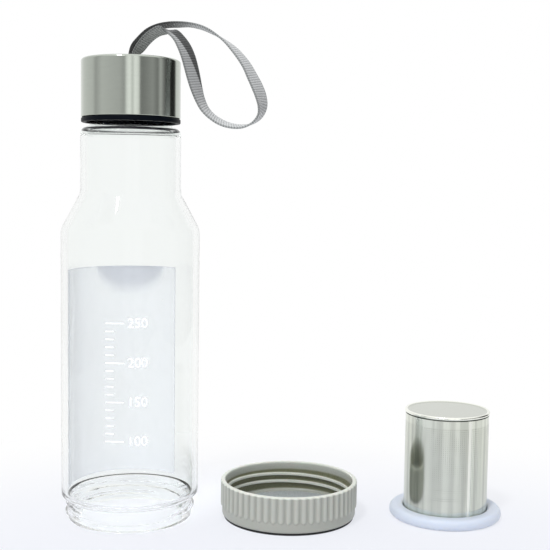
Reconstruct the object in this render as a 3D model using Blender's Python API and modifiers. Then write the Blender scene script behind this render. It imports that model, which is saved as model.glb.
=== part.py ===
"""Infuser water bottle, laid out as three groups on one surface.

The open-ended glass bottle stands on its screw-threaded foot, closed at the top by a steel screw cap
that carries a wrist strap. The ribbed screw cap of the foot lies beside it, open side up, and the
perforated infuser basket stands upside down in its silicone ring.

Metres, +Z up. The origin is at the middle of the floor under the whole layout.
"""

import math

import bmesh
import bpy
from mathutils import Vector

# Clearances and facets
FIT_GAP = 0.0003
CUT_OVERRUN = 0.001
MERGE_DISTANCE = 0.00001
ROUND_STEPS = 36
ARC_STEPS = 2
SMOOTH_DEGREES = 35

# Layout along X, measured from the bottle's axis
FOOT_CAP_SPACING = 0.0766
INFUSER_SPACING = 0.153

# Glass bottle: body, foot, shoulder, neck and the finish under the cap
BODY_RADIUS = 0.0325
GLASS_WALL = 0.0026
BODY_HEIGHT = 0.1358
SHOULDER_HEIGHT = 0.021
SHOULDER_FILLET = 0.008
SHOULDER_INNER_DROP = 0.0006
SHOULDER_STEPS = 3
NECK_RADIUS = 0.0234
NECK_WALL = 0.0024
NECK_HEIGHT = 0.0250
COLLAR_HEIGHT = 0.0038
COLLAR_INNER_DROP = 0.0010
COLLAR_STEPS = 3
FINISH_RADIUS = 0.0193
FINISH_WALL = 0.0025
FINISH_HEIGHT = 0.0277
RIM_ROUND = 0.0007
FOOT_RADIUS = 0.0293
FOOT_WALL = 0.0048
FOOT_FINISH_HEIGHT = 0.0110
FOOT_LIP_ROUND = 0.0014
FOOT_STEP_ROUND = 0.0018
FOOT_THROAT_HEIGHT = 0.0080
FOOT_THROAT_RISE = 0.0060
FOOT_THROAT_STEPS = 3

# Screw threads of the glass, single start and right handed
THREAD_PITCH = 0.004
THREAD_BASE = 0.0021
THREAD_CREST = 0.0010
THREAD_BITE = 0.0005
THREAD_FADE_TURNS_SHARE = 0.08
THREAD_STEPS = 26
NECK_THREAD_DEPTH = 0.0012
NECK_THREAD_TURNS_SHARE = 1.5
NECK_THREAD_START = 0.0050
FOOT_THREAD_DEPTH = 0.0013
FOOT_THREAD_TURNS_SHARE = 1.4
FOOT_THREAD_START = 0.0030
FOOT_THREAD_START_DEGREES = -150

# Frosted film on the inside of the back wall
FILM_THICKNESS = 0.0003
FILM_WIDTH = 0.074
FILM_TOP_MARGIN = 0.0175
FILM_MIDDLE_DEGREES = 118
FILM_STEPS = 16

# Cap, from the glass rim upwards: gasket, liner, retainer, strap foot, shell
GASKET_THICKNESS = 0.0015
GASKET_RADIUS = 0.0205
GASKET_BORE = 0.0160
LINER_PLATE = 0.0018
LINER_BORE = 0.0209
LINER_WALL = 0.0013
LINER_FLANGE_HEIGHT = 0.0021
LINER_TO_COLLAR = 0.0017
LINER_THREAD_DEPTH = 0.0012
RETAINER_THICKNESS = 0.0008
RETAINER_RADIUS = 0.0120
SHELL_WALL = 0.0006
SHELL_ROUND = 0.0013

# Wrist strap of flat webbing
STRAP_WIDTH = 0.0084
STRAP_THICKNESS = 0.0010
STRAP_REACH = 0.0600
STRAP_STRAND_GAP = 0.0003
STRAP_FOOT_THICKNESS = 0.0008
STRAP_FOOT_LENGTH = 0.0080
STRAP_STEPS = 2
STRAP_KNUCKLE_STEPS = 16
KNUCKLE_OVERHANG = 0.00015
# Along the strap: places from the hinge, as shares of the reach in X, Y and Z, and the twist in degrees
STRAP_ROUTE_SHARES = (
    (0.0108, 0.000, 0.000, 0),
    (0.063, -0.005, 0.063, -22),
    (0.115, -0.020, 0.125, -24),
    (0.176, -0.048, 0.172, -21),
    (0.247, -0.081, 0.197, -18),
    (0.320, -0.114, 0.183, 27),
    (0.377, -0.140, 0.130, 36),
    (0.419, -0.160, 0.062, 45),
    (0.450, -0.176, -0.012, 48),
    (0.473, -0.188, -0.091, 48),
    (0.493, -0.196, -0.170, 45),
    (0.514, -0.200, -0.250, 38),
    (0.540, -0.200, -0.328, 30),
    (0.577, -0.197, -0.402, 25),
    (0.633, -0.191, -0.461, 21),
    (0.703, -0.183, -0.504, 20),
    (0.781, -0.175, -0.528, 16),
    (0.863, -0.166, -0.531, 11),
    (0.940, -0.156, -0.505, 0),
    (0.998, -0.147, -0.449, -14),
    (1.019, -0.137, -0.371, -31),
    (1.005, -0.126, -0.291, -39),
    (0.975, -0.113, -0.215, -40),
    (0.939, -0.101, -0.142, -36),
    (0.901, -0.090, -0.069, -31),
    (0.855, -0.080, -0.002, -27),
    (0.802, -0.069, 0.060, -22),
    (0.742, -0.059, 0.116, -13),
    (0.676, -0.049, 0.164, -6),
    (0.605, -0.039, 0.205, 0),
    (0.529, -0.031, 0.235, 2),
    (0.448, -0.023, 0.251, 3),
    (0.366, -0.018, 0.252, 7),
    (0.284, -0.012, 0.248, 7),
    (0.203, -0.009, 0.232, 6),
    (0.129, -0.006, 0.197, 6),
    (0.068, -0.003, 0.142, 6),
    (0.018, -0.001, 0.076, 8),
    (-0.0108, 0.000, 0.000, 0),
)

# Screw cap of the foot, lying open side up
FOOT_CAP_RADIUS = 0.0322
FOOT_CAP_WALL = 0.0014
FOOT_CAP_HEIGHT = 0.0180
FOOT_CAP_FLOOR = 0.0026
FOOT_CAP_EDGE = 0.0005
FOOT_CAP_BAND = 0.0042
FOOT_CAP_CORNER = 0.0016
FOOT_CAP_FILLET = 0.0010
RIB_COUNT = 58
RIB_COLUMNS = 2
RIB_DEPTH = 0.0007
FOOT_CAP_THREAD_PITCH = 0.0038
FOOT_CAP_THREAD_DEPTH = 0.0014
FOOT_CAP_THREAD_TURNS_SHARE = 2.4
FOOT_CAP_THREAD_START = 0.0034
PAD_PROUD = 0.0008
PAD_THICKNESS = 0.0016
PAD_WIDTH = 0.0048
PAD_INSET = 0.0008

# Silicone ring that holds the basket
SEAL_RADIUS = 0.0269
SEAL_HEIGHT = 0.0054
SEAL_BORE = 0.0198
SEAL_LIP = 0.0022
SEAL_ROUND = 0.0018

# Perforated basket: flange, wall and end disc
BASKET_RADIUS = 0.0200
BASKET_WALL = 0.0005
BASKET_HEIGHT = 0.0471
FLANGE_RADIUS = 0.0210
FLANGE_THICKNESS = 0.0007
COLLAR_DEPTH = 0.0030
END_THICKNESS = 0.0006
END_BEAD = 0.0008
END_BEAD_STEPS = 5
END_BEAD_TOP_DEGREES = 120
HOLE_COLUMNS = 27
HOLE_ROWS = 7
HOLE_PANEL_MARGIN = 0.0042
SEAM_COLUMN = 3

# Places that follow from the sizes above
LAYOUT_WIDTH = BODY_RADIUS + INFUSER_SPACING + SEAL_RADIUS
BOTTLE_X = BODY_RADIUS - LAYOUT_WIDTH / 2
FOOT_CAP_X = BOTTLE_X + FOOT_CAP_SPACING
INFUSER_X = BOTTLE_X + INFUSER_SPACING

SHOULDER_TOP = BODY_HEIGHT + SHOULDER_HEIGHT
NECK_TOP = SHOULDER_TOP + NECK_HEIGHT
RIM_HEIGHT = NECK_TOP + FINISH_HEIGHT
GASKET_BOTTOM = RIM_HEIGHT + FIT_GAP
PLATE_BOTTOM = GASKET_BOTTOM + GASKET_THICKNESS + FIT_GAP
PLATE_TOP = PLATE_BOTTOM + LINER_PLATE
RETAINER_BOTTOM = PLATE_TOP + FIT_GAP
RETAINER_TOP = RETAINER_BOTTOM + RETAINER_THICKNESS
STRAP_FOOT_BOTTOM = RETAINER_TOP + FIT_GAP
STRAP_FOOT_TOP = STRAP_FOOT_BOTTOM + STRAP_FOOT_THICKNESS
SHELL_CEILING = STRAP_FOOT_TOP + FIT_GAP
SHELL_TOP = SHELL_CEILING + SHELL_WALL
LINER_BOTTOM = NECK_TOP + COLLAR_HEIGHT + LINER_TO_COLLAR
LINER_RADIUS = LINER_BORE + LINER_WALL
SHELL_BORE = LINER_RADIUS + FIT_GAP
SHELL_RADIUS = SHELL_BORE + SHELL_WALL
SHELL_BOTTOM = LINER_BOTTOM + LINER_FLANGE_HEIGHT + FIT_GAP
KNUCKLE_RADIUS = STRAP_THICKNESS + STRAP_STRAND_GAP / 2
STRAP_HINGE_Z = SHELL_TOP + FIT_GAP + KNUCKLE_RADIUS
SLOT_WIDTH = 2 * (KNUCKLE_RADIUS + FIT_GAP)
SLOT_LENGTH = STRAP_WIDTH + 2 * FIT_GAP

COLLECTIONS = {}


def clear_scene():
    for thing in list(bpy.data.objects):
        bpy.data.objects.remove(thing, do_unlink=True)


def collection(name):
    """The collection of that name, made the first time that it is asked for."""
    if name not in COLLECTIONS:
        COLLECTIONS[name] = bpy.data.collections.new(name)
        bpy.context.scene.collection.children.link(COLLECTIONS[name])
    return COLLECTIONS[name]


def material(name, colour, roughness, metallic=0.0, alpha=1.0):
    made = bpy.data.materials.new(name)
    made.use_nodes = True
    shader = made.node_tree.nodes["Principled BSDF"]
    shader.inputs["Base Color"].default_value = (*colour, 1.0)
    shader.inputs["Roughness"].default_value = roughness
    shader.inputs["Metallic"].default_value = metallic
    shader.inputs["Alpha"].default_value = alpha
    return made


def add_object(name, mesh, finish, location=(0, 0, 0)):
    """A visible piece of the bottle."""
    made = bpy.data.objects.new(name, mesh)
    made.location = location
    mesh.materials.append(finish)
    collection("infuser_water_bottle").objects.link(made)
    return made


def add_cutter(name, mesh, location=(0, 0, 0)):
    """A helper for a Boolean, shown as wire and left out of renders."""
    made = bpy.data.objects.new(name, mesh)
    made.location = location
    made.display_type = "WIRE"
    made.hide_render = True
    collection("cutters").objects.link(made)
    return made


def axis_empty(name, location):
    """An empty on a joint's axis, which carries the pieces that turn or lift together."""
    made = bpy.data.objects.new(name, None)
    made.location = location
    made.empty_display_size = BODY_RADIUS
    collection("infuser_water_bottle").objects.link(made)
    return made


def ride(carrier, *pieces):
    """Parents pieces to their axis empty and keeps them where they are."""
    for piece in pieces:
        piece.parent = carrier
        piece.location = Vector(piece.location) - Vector(carrier.location)


def boolean(target, cutter, operation):
    step = target.modifiers.new(f"{operation} {cutter.name}", "BOOLEAN")
    step.operation = operation
    step.solver = "EXACT"
    step.object = cutter


def smooth(mesh):
    mesh.shade_smooth()
    mesh.set_sharp_from_angle(angle=math.radians(SMOOTH_DEGREES))


def arc(centre, radii, first_degrees, last_degrees, steps=ARC_STEPS):
    """Points of an arc in the profile plane, both ends included."""
    points = []
    for i in range(steps + 1):
        turn = math.radians(first_degrees + (last_degrees - first_degrees) * i / steps)
        points.append((centre[0] + radii[0] * math.cos(turn), centre[1] + radii[1] * math.sin(turn)))
    return points


def eased(start, end, steps):
    """Points of an S-curve that leaves and arrives along Z, both ends included."""
    points = []
    for i in range(steps + 1):
        t = i / steps
        share = t * t * (3 - 2 * t)
        points.append((start[0] + (end[0] - start[0]) * share, start[1] + (end[1] - start[1]) * t))
    return points


def filleted_slope(start, end, fillet, steps):
    """Points of a straight slope that leaves and arrives along Z through two equal fillets."""
    side = math.copysign(1, end[0] - start[0])
    down = math.copysign(1, end[1] - start[1])
    width, height = abs(end[0] - start[0]), abs(end[1] - start[1])
    rest = width - 2 * fillet
    slope = math.sqrt(rest**2 + height**2 - 4 * fillet**2)
    turn = math.atan2(rest * slope + 2 * fillet * height, height * slope - 2 * fillet * rest)
    points = []
    for i in range(steps + 1):
        part = turn * i / steps
        aside, along = fillet * (1 - math.cos(part)), fillet * math.sin(part)
        points.append((start[0] + side * aside, start[1] + down * along))
    for i in range(steps + 1):
        part = turn * (1 - i / steps)
        aside, along = fillet * (1 - math.cos(part)), fillet * math.sin(part)
        points.append((end[0] - side * aside, end[1] - down * along))
    return points


def profile_mesh(name, profile, is_ring):
    """Edges through profile points of radius and height, on the +X side."""
    count = len(profile)
    edges = [(i, i + 1) for i in range(count - 1)]
    if is_ring:
        edges.append((count - 1, 0))
    mesh = bpy.data.meshes.new(name)
    mesh.from_pydata([(radius, 0, height) for radius, height in profile], edges, [])
    return mesh


def add_screw(target, steps):
    turn = target.modifiers.new("Turn", "SCREW")
    turn.axis = "Z"
    turn.angle = math.tau
    turn.steps = steps
    turn.render_steps = steps
    turn.use_merge_vertices = True
    turn.merge_threshold = MERGE_DISTANCE
    turn.use_smooth_shade = True


def turned(name, profile, finish, location, is_ring=True, steps=ROUND_STEPS):
    """A turned piece: its profile runs down the outer side and up the inner side, or axis to axis."""
    made = add_object(name, profile_mesh(name, profile, is_ring), finish, location)
    add_screw(made, steps)
    return made


def turned_cutter(name, profile, location, is_ring=True, steps=ROUND_STEPS):
    made = add_cutter(name, profile_mesh(name, profile, is_ring), location)
    add_screw(made, steps)
    return made


def evaluated_mesh(source, name):
    """The mesh of an object with its modifiers applied."""
    graph = bpy.context.evaluated_depsgraph_get()
    mesh = bpy.data.meshes.new_from_object(source.evaluated_get(graph))
    mesh.name = name
    return mesh


def loft(name, rings):
    """A closed skin over rings of equal point counts, with flat ends."""
    shape = bmesh.new()
    rows = [[shape.verts.new(point) for point in ring] for ring in rings]
    for before, after in zip(rows, rows[1:]):
        for i, vert in enumerate(before):
            j = (i + 1) % len(before)
            shape.faces.new((vert, before[j], after[j], after[i]))
    shape.faces.new(reversed(rows[0]))
    shape.faces.new(rows[-1])
    bmesh.ops.recalc_face_normals(shape, faces=shape.faces)
    mesh = bpy.data.meshes.new(name)
    shape.to_mesh(mesh)
    shape.free()
    return mesh


def thread_ridge(name, wall_radius, depth, pitch, turns, start, start_degrees, location):
    """A right-handed screw ridge that winds down from its start height.

    The ridge stands out from the wall where depth is positive and into the bore where it is negative.
    Both ends fade into the wall.
    """
    side = math.copysign(1, depth)
    root = wall_radius - side * THREAD_BITE
    count = round(turns * THREAD_STEPS)
    rings = []
    for i in range(count + 1):
        turned_by = turns * i / count
        angle = math.radians(start_degrees) - math.tau * turned_by
        height = start - pitch * turned_by
        to_end = min(turned_by, turns - turned_by) / THREAD_FADE_TURNS_SHARE
        fade = math.sqrt(min(1, to_end))
        crest = wall_radius + depth * fade - side * THREAD_BITE / 2 * (1 - fade)
        base_half = THREAD_BASE / 2
        crest_half = THREAD_CREST / 2
        section = ((root, -base_half), (crest, -crest_half), (crest, crest_half), (root, base_half))
        rings.append([(r * math.cos(angle), r * math.sin(angle), height + z) for r, z in section])
    return add_cutter(name, loft(name, rings), location)


def glass_profile():
    """The bottle's outer side from rim to foot, then its inner side from foot to rim."""
    bore = FINISH_RADIUS - FINISH_WALL
    neck_bore = NECK_RADIUS - NECK_WALL
    body_bore = BODY_RADIUS - GLASS_WALL
    mouth = FOOT_RADIUS - FOOT_WALL
    collar = (NECK_RADIUS - FINISH_RADIUS, COLLAR_HEIGHT)
    inner_collar = (neck_bore - bore, COLLAR_HEIGHT)
    rim = (RIM_ROUND, RIM_ROUND)
    lip = (FOOT_LIP_ROUND, FOOT_LIP_ROUND)
    step = (FOOT_STEP_ROUND, FOOT_STEP_ROUND)
    outer = arc((FINISH_RADIUS - RIM_ROUND, RIM_HEIGHT - RIM_ROUND), rim, 90, 0)
    outer += arc((FINISH_RADIUS, NECK_TOP), collar, 90, 0, COLLAR_STEPS)
    outer += filleted_slope(
        (NECK_RADIUS, SHOULDER_TOP), (BODY_RADIUS, BODY_HEIGHT), SHOULDER_FILLET, SHOULDER_STEPS
    )
    outer += arc((BODY_RADIUS - FOOT_STEP_ROUND, FOOT_FINISH_HEIGHT + FOOT_STEP_ROUND), step, 0, -90)
    outer += [(FOOT_RADIUS, FOOT_FINISH_HEIGHT)]
    outer += arc((FOOT_RADIUS - FOOT_LIP_ROUND, FOOT_LIP_ROUND), lip, 0, -90)
    inner = arc((mouth + FOOT_LIP_ROUND, FOOT_LIP_ROUND), lip, -90, -180)
    throat_top = FOOT_THROAT_HEIGHT + FOOT_THROAT_RISE
    inner += eased((mouth, FOOT_THROAT_HEIGHT), (body_bore, throat_top), FOOT_THROAT_STEPS)
    inner += filleted_slope(
        (body_bore, BODY_HEIGHT - SHOULDER_INNER_DROP),
        (neck_bore, SHOULDER_TOP - SHOULDER_INNER_DROP),
        SHOULDER_FILLET,
        SHOULDER_STEPS,
    )
    inner += arc((bore, NECK_TOP - COLLAR_INNER_DROP), inner_collar, 0, 90, COLLAR_STEPS)
    inner += arc((bore + RIM_ROUND, RIM_HEIGHT - RIM_ROUND), rim, 180, 90)
    return outer + inner


def build_bottle(finishes):
    """The glass shell with both threads, and the frosted film behind."""
    place = (BOTTLE_X, 0, 0)
    glass = turned("bottle_glass", glass_profile(), finishes["glass"], place)
    neck_thread = thread_ridge(
        "neck_thread",
        FINISH_RADIUS,
        NECK_THREAD_DEPTH,
        THREAD_PITCH,
        NECK_THREAD_TURNS_SHARE,
        RIM_HEIGHT - NECK_THREAD_START,
        0,
        place,
    )
    foot_thread = thread_ridge(
        "foot_thread",
        FOOT_RADIUS,
        FOOT_THREAD_DEPTH,
        THREAD_PITCH,
        FOOT_THREAD_TURNS_SHARE,
        FOOT_FINISH_HEIGHT - FOOT_THREAD_START,
        FOOT_THREAD_START_DEGREES,
        place,
    )
    boolean(glass, neck_thread, "UNION")
    boolean(glass, foot_thread, "UNION")
    return [glass, build_film(finishes["film"], place)]


def build_film(finish, place):
    """A curved strip that follows the inside of the glass, standing on the throat above the foot."""
    outer_radius = (BODY_RADIUS - GLASS_WALL) * math.cos(math.pi / ROUND_STEPS) - FIT_GAP
    half_turn = FILM_WIDTH / outer_radius / 2
    middle = math.radians(FILM_MIDDLE_DEGREES)
    bottom = FOOT_THROAT_HEIGHT + FOOT_THROAT_RISE + FIT_GAP
    top = BODY_HEIGHT - FILM_TOP_MARGIN
    rings = []
    for i in range(FILM_STEPS + 1):
        angle = middle - half_turn + 2 * half_turn * i / FILM_STEPS
        ring = []
        for radius, height in (
            (outer_radius, bottom),
            (outer_radius, top),
            (outer_radius - FILM_THICKNESS, top),
            (outer_radius - FILM_THICKNESS, bottom),
        ):
            ring.append((radius * math.cos(angle), radius * math.sin(angle), height))
        rings.append(ring)
    return add_object("back_film", loft("back_film", rings), finish, place)


def build_cap(finishes):
    """Gasket, threaded liner, strap retainer and steel shell of the cap at the top."""
    place = (BOTTLE_X, 0, 0)
    gasket = turned(
        "cap_gasket",
        [
            (GASKET_RADIUS, GASKET_BOTTOM + GASKET_THICKNESS),
            (GASKET_RADIUS, GASKET_BOTTOM),
            (GASKET_BORE, GASKET_BOTTOM),
            (GASKET_BORE, GASKET_BOTTOM + GASKET_THICKNESS),
        ],
        finishes["silicone"],
        place,
    )
    flange_top = LINER_BOTTOM + LINER_FLANGE_HEIGHT
    liner = turned(
        "cap_liner",
        [
            (0, PLATE_TOP),
            (LINER_RADIUS - RIM_ROUND, PLATE_TOP),
            (LINER_RADIUS, PLATE_TOP - RIM_ROUND),
            (LINER_RADIUS, flange_top),
            (SHELL_RADIUS, flange_top),
            (SHELL_RADIUS, LINER_BOTTOM),
            (LINER_BORE, LINER_BOTTOM),
            (LINER_BORE, PLATE_BOTTOM),
            (0, PLATE_BOTTOM),
        ],
        finishes["liner"],
        place,
        is_ring=False,
    )
    liner_thread = thread_ridge(
        "liner_thread",
        LINER_BORE,
        -LINER_THREAD_DEPTH,
        THREAD_PITCH,
        NECK_THREAD_TURNS_SHARE,
        RIM_HEIGHT - NECK_THREAD_START - THREAD_PITCH / 2,
        0,
        place,
    )
    boolean(liner, liner_thread, "UNION")
    retainer = turned(
        "strap_retainer",
        [
            (0, RETAINER_TOP),
            (RETAINER_RADIUS, RETAINER_TOP),
            (RETAINER_RADIUS, RETAINER_BOTTOM),
            (0, RETAINER_BOTTOM),
        ],
        finishes["steel"],
        place,
        is_ring=False,
    )
    inner_round = SHELL_ROUND - SHELL_WALL
    shell_profile = [(0, SHELL_TOP)]
    shell_profile += arc(
        (SHELL_RADIUS - SHELL_ROUND, SHELL_TOP - SHELL_ROUND), (SHELL_ROUND, SHELL_ROUND), 90, 0
    )
    shell_profile += [(SHELL_RADIUS, SHELL_BOTTOM), (SHELL_BORE, SHELL_BOTTOM)]
    shell_profile += arc(
        (SHELL_BORE - inner_round, SHELL_CEILING - inner_round), (inner_round, inner_round), 0, 90
    )
    shell_profile += [(0, SHELL_CEILING)]
    shell = turned("cap_shell", shell_profile, finishes["steel"], place, is_ring=False)
    slot = box_cutter("strap_slot", (SLOT_WIDTH, SLOT_LENGTH), SHELL_CEILING, SHELL_TOP)
    boolean(shell, slot, "DIFFERENCE")
    return gasket, [liner, retainer, shell, build_strap_foot(finishes["webbing"])]


def box_mesh(name, size, bottom, top):
    """A box centred on the Z axis between two heights."""
    shape = bmesh.new()
    bmesh.ops.create_cube(shape, size=1)
    bmesh.ops.scale(shape, vec=(size[0], size[1], top - bottom), verts=shape.verts)
    bmesh.ops.translate(shape, vec=(0, 0, (top + bottom) / 2), verts=shape.verts)
    mesh = bpy.data.meshes.new(name)
    shape.to_mesh(mesh)
    shape.free()
    return mesh


def box_cutter(name, size, bottom, top):
    mesh = box_mesh(name, size, bottom - CUT_OVERRUN, top + CUT_OVERRUN)
    return add_cutter(name, mesh, (BOTTLE_X, 0, 0))


def build_strap_foot(finish):
    """The sewn end of the strap, trapped under the shell, with its tongue up through the slot."""
    foot = add_object(
        "strap_root",
        box_mesh("strap_root", (STRAP_FOOT_LENGTH, STRAP_WIDTH), STRAP_FOOT_BOTTOM, STRAP_FOOT_TOP),
        finish,
        (BOTTLE_X, 0, 0),
    )
    tongue_width = 2 * STRAP_THICKNESS + STRAP_STRAND_GAP
    tongue_middle = (STRAP_FOOT_BOTTOM + STRAP_FOOT_TOP) / 2
    tongue = box_mesh("strap_tongue", (tongue_width, STRAP_WIDTH), tongue_middle, SHELL_TOP)
    boolean(foot, add_cutter("strap_tongue", tongue, (BOTTLE_X, 0, 0)), "UNION")
    return foot


def curve_value(before, start, end, after, t):
    """One coordinate of the smooth curve between start and end, whose neighbours are before and after."""
    linear = end - before
    square = 2 * before - 5 * start + 4 * end - after
    cube = 3 * start - before - 3 * end + after
    return start + (linear * t + square * t**2 + cube * t**3) / 2


def spline(points, steps):
    """Points of a smooth curve through the given ones, with a number of steps between neighbours."""
    padded = [points[0], *points, points[-1]]
    made = []
    for neighbours in zip(padded, padded[1:], padded[2:], padded[3:]):
        for i in range(steps):
            made.append([curve_value(*values, i / steps) for values in zip(*neighbours)])
    made.append(list(points[-1]))
    return made


def build_strap_loop(finish):
    """The loop of flat webbing, twisted along its way, with both ends in one rounded knuckle."""
    route = spline(STRAP_ROUTE_SHARES, STRAP_STEPS)
    places = [Vector(share[:3]) * STRAP_REACH for share in route]
    rings = []
    for i, place in enumerate(places):
        along = (places[min(i + 1, len(places) - 1)] - places[max(i - 1, 0)]).normalized()
        if i in (0, len(places) - 1):
            along = Vector((0, 0, math.copysign(1, along.z)))
        outward = Vector((0, 1, 0)).cross(along).normalized()
        across = along.cross(outward).normalized()
        twist = math.radians(route[i][3])
        flat = (across * math.cos(twist) - outward * math.sin(twist)) * STRAP_WIDTH / 2
        thick = (outward * math.cos(twist) + across * math.sin(twist)) * STRAP_THICKNESS / 2
        rings.append([place - flat - thick, place + flat - thick, place + flat + thick, place - flat + thick])
    loop = add_object("strap_loop", loft("strap_loop", rings), finish, (BOTTLE_X, 0, STRAP_HINGE_Z))
    knuckle = bmesh.new()
    bmesh.ops.create_cone(
        knuckle,
        cap_ends=True,
        segments=STRAP_KNUCKLE_STEPS,
        radius1=KNUCKLE_RADIUS,
        radius2=KNUCKLE_RADIUS,
        depth=STRAP_WIDTH + KNUCKLE_OVERHANG,
    )
    mesh = bpy.data.meshes.new("strap_knuckle")
    knuckle.to_mesh(mesh)
    knuckle.free()
    knuckle_cutter = add_cutter("strap_knuckle", mesh, loop.location)
    knuckle_cutter.rotation_euler = (math.radians(90), 0, 0)
    boolean(loop, knuckle_cutter, "UNION")
    return loop


def build_foot_cap(finishes):
    """The ribbed cap with its screw thread inside, and the pad that it stands on."""
    place = (FOOT_CAP_X, 0, 0)
    bottom = PAD_PROUD
    floor = bottom + FOOT_CAP_FLOOR
    bore = FOOT_CAP_RADIUS - FOOT_CAP_WALL
    outer = [(0, FOOT_CAP_HEIGHT)]
    outer += [(FOOT_CAP_RADIUS - FOOT_CAP_EDGE, FOOT_CAP_HEIGHT)]
    outer += [(FOOT_CAP_RADIUS, FOOT_CAP_HEIGHT - FOOT_CAP_EDGE)]
    outer += [(FOOT_CAP_RADIUS, bottom + FOOT_CAP_BAND + FOOT_CAP_EDGE)]
    outer += [(FOOT_CAP_RADIUS, bottom + FOOT_CAP_BAND)]
    corner = (FOOT_CAP_CORNER, FOOT_CAP_CORNER)
    outer += arc((FOOT_CAP_RADIUS - FOOT_CAP_CORNER, bottom + FOOT_CAP_CORNER), corner, 0, -90)
    outer += [(0, bottom)]
    columns = RIB_COUNT * RIB_COLUMNS
    blank = turned_cutter("foot_cap_blank", outer, (0, 0, 0), is_ring=False, steps=columns)
    mesh = evaluated_mesh(blank, "foot_cap")
    blank.hide_viewport = True
    raise_ribs(mesh, bottom + FOOT_CAP_BAND + FOOT_CAP_EDGE / 2)
    smooth(mesh)
    cap = add_object("foot_cap", mesh, finishes["grey_plastic"], place)
    fillet = (FOOT_CAP_FILLET, FOOT_CAP_FILLET)
    hollow = [(0, FOOT_CAP_HEIGHT + CUT_OVERRUN), (bore, FOOT_CAP_HEIGHT + CUT_OVERRUN)]
    hollow += arc((bore - FOOT_CAP_FILLET, floor + FOOT_CAP_FILLET), fillet, 0, -90, 2)
    hollow += [(0, floor)]
    boolean(cap, turned_cutter("foot_cap_hollow", hollow, place, is_ring=False), "DIFFERENCE")
    pad_outer = FOOT_CAP_RADIUS - PAD_INSET
    pad_inner = pad_outer - PAD_WIDTH
    groove_top = PAD_THICKNESS + FIT_GAP
    groove = [
        (pad_outer + FIT_GAP, groove_top),
        (pad_outer + FIT_GAP, -CUT_OVERRUN),
        (pad_inner - FIT_GAP, -CUT_OVERRUN),
        (pad_inner - FIT_GAP, groove_top),
    ]
    boolean(cap, turned_cutter("pad_groove", groove, place), "DIFFERENCE")
    ridge = thread_ridge(
        "foot_cap_thread",
        bore,
        -FOOT_CAP_THREAD_DEPTH,
        FOOT_CAP_THREAD_PITCH,
        FOOT_CAP_THREAD_TURNS_SHARE,
        FOOT_CAP_HEIGHT - FOOT_CAP_THREAD_START,
        0,
        place,
    )
    boolean(cap, ridge, "UNION")
    pad = turned(
        "foot_cap_pad",
        [(pad_outer, PAD_THICKNESS), (pad_outer, 0), (pad_inner, 0), (pad_inner, PAD_THICKNESS)],
        finishes["black_rubber"],
        place,
    )
    return [cap, pad]


def raise_ribs(mesh, lowest):
    """Pulls out one column of each rib on the turned blank's side, above the smooth band."""
    column_turn = math.tau / (RIB_COUNT * RIB_COLUMNS)
    for vert in mesh.vertices:
        radius = math.hypot(vert.co.x, vert.co.y)
        column = round(math.atan2(vert.co.y, vert.co.x) / column_turn)
        if vert.co.z > lowest and radius > FOOT_CAP_RADIUS / 2 and column % RIB_COLUMNS == 0:
            stretch = (radius + RIB_DEPTH) / radius
            vert.co.x *= stretch
            vert.co.y *= stretch


def build_seal(finish):
    """The silicone ring, with a lip under the basket's flange."""
    pocket = FLANGE_RADIUS + FIT_GAP
    edge = (SEAL_ROUND, SEAL_ROUND)
    profile = arc((SEAL_RADIUS - SEAL_ROUND, SEAL_HEIGHT - SEAL_ROUND), edge, 90, 0)
    profile += arc((SEAL_RADIUS - SEAL_ROUND, SEAL_ROUND), edge, 0, -90)
    profile += [(SEAL_BORE, 0), (SEAL_BORE, SEAL_LIP), (pocket, SEAL_LIP), (pocket, SEAL_HEIGHT)]
    return turned("infuser_seal", profile, finish, (INFUSER_X, 0, 0))


def build_basket(finish):
    """Flange with its collar, perforated wall and beaded end disc, each seated in the next."""
    place = (INFUSER_X, 0, 0)
    flange_bottom = SEAL_LIP + FIT_GAP
    flange_top = flange_bottom + FLANGE_THICKNESS
    wall_bottom = flange_top + FIT_GAP
    wall_top = wall_bottom + BASKET_HEIGHT
    wall_bore = BASKET_RADIUS - BASKET_WALL
    collar = wall_bore - FIT_GAP
    collar_bore = collar - BASKET_WALL
    flange = turned(
        "basket_flange",
        [
            (collar, flange_top + COLLAR_DEPTH),
            (collar, flange_top),
            (FLANGE_RADIUS, flange_top),
            (FLANGE_RADIUS, flange_bottom),
            (collar_bore, flange_bottom),
            (collar_bore, flange_top + COLLAR_DEPTH),
        ],
        finish,
        place,
    )
    bead_middle = wall_top + FIT_GAP + END_BEAD
    bead = (END_BEAD, END_BEAD)
    end_profile = [(0, bead_middle + END_THICKNESS / 2), (collar, bead_middle + END_THICKNESS / 2)]
    bead_centre = (BASKET_RADIUS - END_BEAD / 2, bead_middle)
    end_profile += arc(bead_centre, bead, END_BEAD_TOP_DEGREES, -90, END_BEAD_STEPS)
    end_profile += [
        (collar, wall_top + FIT_GAP),
        (collar, wall_top - COLLAR_DEPTH),
        (collar_bore, wall_top - COLLAR_DEPTH),
        (collar_bore, bead_middle - END_THICKNESS / 2),
        (0, bead_middle - END_THICKNESS / 2),
    ]
    end = turned("basket_end", end_profile, finish, place, is_ring=False)
    return [flange, build_basket_wall(finish, place, wall_bottom, wall_top), end]


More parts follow.
